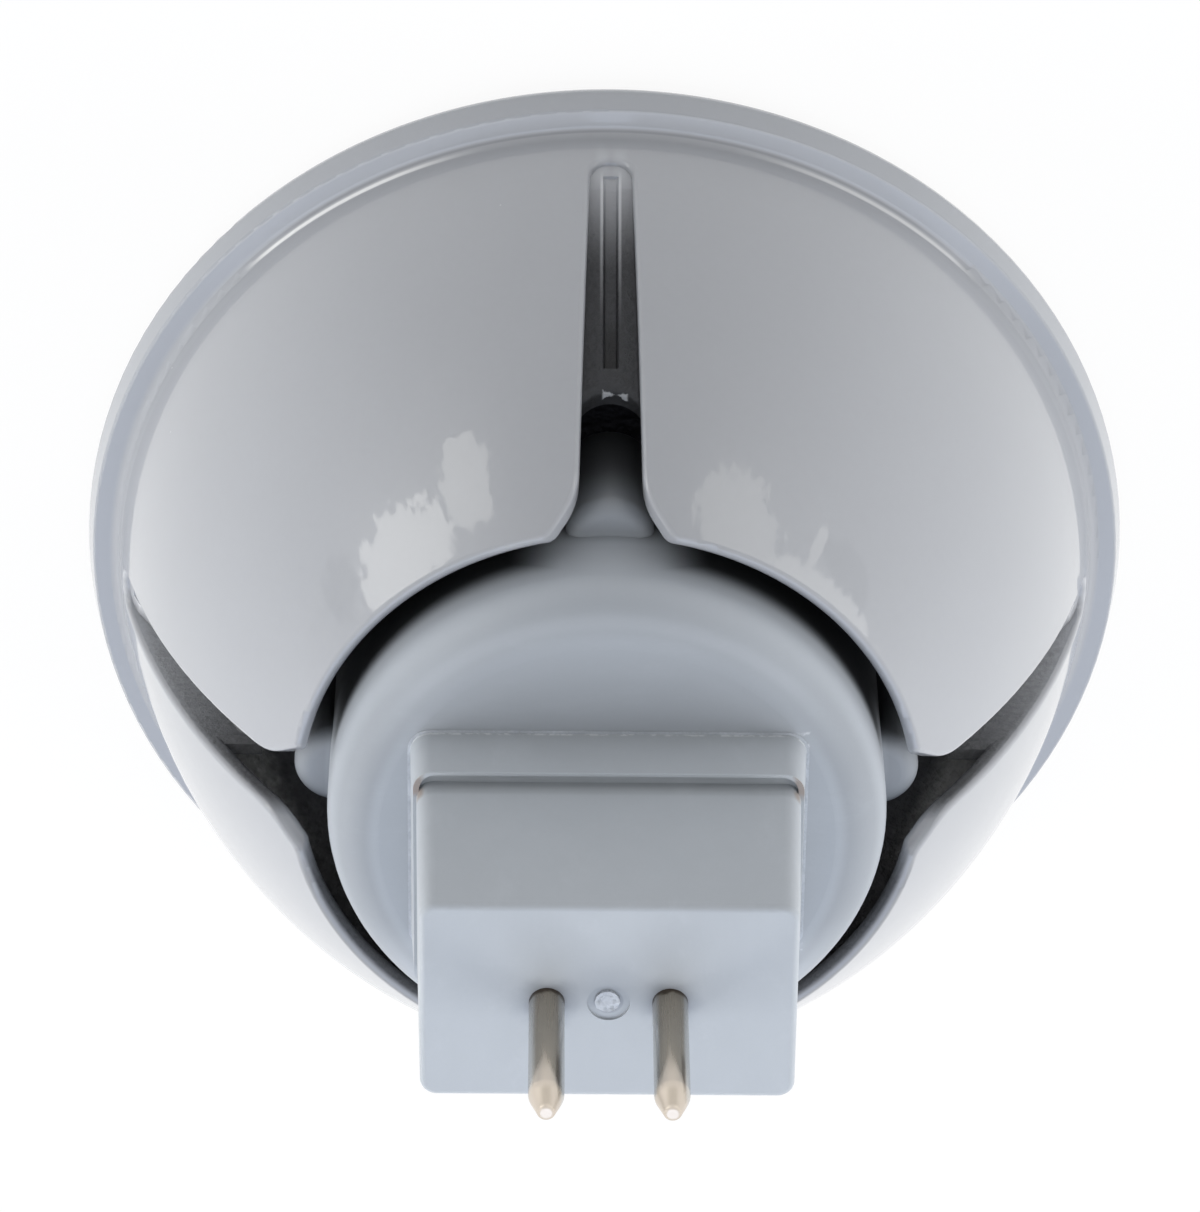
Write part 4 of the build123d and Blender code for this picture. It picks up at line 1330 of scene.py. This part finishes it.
def direction(azimuth: float, elevation: float) -> Vector:
    """Unit vector towards a viewing angle.

    Args:
        azimuth: Degrees round from the front.
        elevation: Degrees above the floor.

    Returns:
        The vector.
    """
    around, above = math.radians(azimuth), math.radians(elevation)
    return Vector((math.sin(around) * math.cos(above), -math.cos(around) * math.cos(above), math.sin(above)))


@dataclass
class Softbox:
    """Square lamp that faces the object."""

    name: str
    place: Point
    side: float
    watts: float
    colour: Colour = WHITE
    mirrored: bool = False
    aim: Point = (0.0, 0.0, 0.015)

    def build(self) -> None:
        """Hangs the lamp."""
        lamp = bpy.data.lights.new(self.name, "AREA")
        lamp.shape = "SQUARE"
        lamp.size = self.side
        lamp.energy = self.watts
        lamp.color = self.colour
        holder = bpy.data.objects.new(self.name, lamp)
        bpy.context.scene.collection.objects.link(holder)
        holder.location = self.place
        holder.rotation_mode = "QUATERNION"
        holder.rotation_quaternion = (Vector(self.aim) - Vector(self.place)).to_track_quat("-Z", "Y")
        holder.visible_camera = False
        holder.visible_glossy = self.mirrored


@dataclass
class Skylight:
    """Card with a ragged outline, brighter or darker than the surroundings, that only gloss shows."""

    name: str
    azimuth: float
    elevation: float
    half_angles: Span
    glow: float
    lean: float = 0.0
    tatter_mm: float = 26.0
    distance: float = 0.5
    aim: Point = (0.0, -0.014, 0.02)
    tint: Colour = (1.0, 0.99, 0.95)
    tatter_edge: Span = (-0.28, -0.14)

    def build(self) -> None:
        """Stands the card beside the lamp, out of the camera's sight."""
        away = direction(self.azimuth, self.elevation)
        around = math.radians(self.azimuth)
        level = Vector((math.cos(around), math.sin(around), 0.0))
        wide = Matrix.Rotation(math.radians(self.lean), 3, away) @ level
        pose = Matrix((wide, away.cross(wide), away)).transposed().to_4x4()
        pose.translation = Vector(self.aim) + away * self.distance
        half = self.distance * math.tan(math.radians(1.5 * max(self.half_angles)))
        Workbench.clear()
        bpy.ops.mesh.primitive_plane_add(size=2 * half)
        card = Workbench.name(self.name)
        card.data.transform(pose)
        card.data.materials.append(self.ragged(pose))
        card.visible_camera = False
        card.visible_diffuse = False
        card.visible_transmission = False
        card.visible_shadow = False

    def ragged(self, pose: Matrix) -> bpy.types.Material:
        """Glow that ends in tatters round an oval.

        Args:
            pose: Place and axes of the card.

        Returns:
            The card's material.
        """
        material = bpy.data.materials.new(self.name)
        material.use_nodes = True
        graph = Graph(material.node_tree)
        from_middle = graph.add("ShaderNodeVectorMath", {"operation": "SUBTRACT"},
                                {0: graph.coordinates(), 1: tuple(pose.translation)})
        reach = []
        for axis, angle in enumerate(self.half_angles):
            along = graph.add("ShaderNodeVectorMath", {"operation": "DOT_PRODUCT"},
                              {0: from_middle, 1: tuple(pose.col[axis].xyz)}, out="Value")
            reach.append(along / (self.distance * math.tan(math.radians(angle))))
        oval = (reach[0] * reach[0] + reach[1] * reach[1]).root()
        body = (1.5 * graph.noise(self.tatter_mm, 4.0, roughness=0.6) - oval).step(*self.tatter_edge)
        clear = graph.add("ShaderNodeBsdfTransparent", None, {"Color": WHITE})
        glow = graph.add("ShaderNodeEmission", None, {"Color": self.tint, "Strength": self.glow})
        both = graph.add("ShaderNodeMixShader", None, {0: body, 1: clear, 2: glow})
        graph.close("ShaderNodeOutputMaterial", both)
        return material


@dataclass
class Studio:
    """White floor and surroundings, lamps and the camera."""

    target: Point = (0.236 * MM, 0.353 * MM, 5.404 * MM)
    distance: float = 278.783 * MM
    azimuth: float = 1.022
    elevation: float = 57.552
    roll: float = 179.579
    focal: float = 5815.3
    image_height: float = 1212.0
    sensor: float = 36.0
    clip: float = 0.01
    floor_drop: float = 0.05 * MM
    floor_half: float = 6.0
    ambient: float = 0.65
    white_share: float = 0.92
    floor_grey: Colour = (0.88, 0.88, 0.88)
    lamps: tuple[Softbox, ...] = (
        Softbox("top_box", (0.0, 0.30, 0.75), 0.70, 1.5, (0.75, 0.93, 1.3), mirrored=True),
        Softbox("left_box", (0.66, 0.22, 0.24), 0.50, 4.5),
        Softbox("right_box", (-0.66, 0.22, 0.24), 0.50, 4.5),
    )
    skylights: tuple[Skylight, ...] = (
        Skylight("left_upper_sky", 36.0, 7.0, (7.0, 7.0), 3.4),
        Skylight("left_lower_sky", 57.0, 8.5, (15.0, 6.0), 4.4, lean=-8.0),
        Skylight("left_dusk", 76.0, 2.0, (6.0, 4.0), 0.45, distance=0.55),
        Skylight("right_sky", -35.0, 12.5, (12.0, 7.0), 2.5),
        Skylight("right_edge_sky", -64.0, 9.6, (20.0, 1.7), 3.2, lean=14.5, tatter_mm=18.0),
        Skylight("right_spike_sky", -57.5, 7.0, (1.5, 3.8), 2.8, tatter_mm=18.0),
        Skylight("right_dusk", -67.0, 4.5, (9.0, 3.0), 0.45, lean=8.0, distance=0.55),
    )

    def build(self) -> None:
        """Sets the stage."""
        bpy.context.scene.view_settings.view_transform = "Standard"
        self.surroundings()
        self.floor()
        for light in (*self.lamps, *self.skylights):
            light.build()
        self.camera()

    @staticmethod
    def shown_white(graph: Graph) -> Wire:
        """1 for the rays that are to see the plain white background."""
        path = graph.add("ShaderNodeLightPath", out="Is Camera Ray")
        seen = path.larger(path.other("Is Glossy Ray"))
        return seen.larger(path.other("Is Transmission Ray"))

    def surroundings(self) -> None:
        """Pale surroundings that are plain white where they are seen."""
        world = bpy.data.worlds.new("studio")
        world.use_nodes = True
        graph = Graph(world.node_tree)
        white = self.shown_white(graph)
        level = self.ambient + (1.0 - self.ambient) * white
        glow = graph.add("ShaderNodeBackground", None, {"Color": WHITE, "Strength": level})
        graph.close("ShaderNodeOutputWorld", glow)
        bpy.context.scene.world = world

    def floor(self) -> None:
        """White floor that keeps a faint shadow."""
        Workbench.clear()
        bpy.ops.mesh.primitive_plane_add(size=2 * self.floor_half, location=(0.0, 0.0, -self.floor_drop))
        sheet = Workbench.name("floor_sheet")
        Workbench.settle(sheet)
        material = bpy.data.materials.new("floor_white")
        material.use_nodes = True
        graph = Graph(material.node_tree)
        matt = graph.add("ShaderNodeBsdfDiffuse", None, {"Color": self.floor_grey})
        glow = graph.add("ShaderNodeEmission", None, {"Color": WHITE, "Strength": 1.0})
        share = self.white_share * self.shown_white(graph)
        both = graph.add("ShaderNodeMixShader", None, {0: share, 1: matt, 2: glow})
        graph.close("ShaderNodeOutputMaterial", both)
        sheet.data.materials.append(material)

    def camera(self) -> None:
        """Camera at the photograph's viewing angle."""
        back = direction(self.azimuth, self.elevation)
        right = (-back).cross(Vector((0.0, 0.0, 1.0))).normalized()
        up = right.cross(-back)
        turn = math.radians(self.roll)
        side = math.cos(turn) * right + math.sin(turn) * up
        top = math.cos(turn) * up - math.sin(turn) * right
        view = bpy.data.cameras.new("camera")
        view.sensor_width = self.sensor
        view.lens = self.focal * self.sensor / self.image_height
        view.clip_start = self.clip
        holder = bpy.data.objects.new("camera", view)
        bpy.context.scene.collection.objects.link(holder)
        pose = Matrix((side, top, back)).transposed().to_4x4()
        pose.translation = Vector(self.target) + back * self.distance
        holder.matrix_world = pose
        bpy.context.scene.camera = holder


def main() -> None:
    """Builds the lamp and its studio in order."""
    logging.basicConfig(level=logging.INFO, format="%(name)s: %(message)s")
    for part in (Studio(), Shell(), Housing(), Contacts(), Optics(), Driver()):
        part.build()
        LOG.info("%s done", type(part).__name__)


if __name__ == "__main__":
    main()
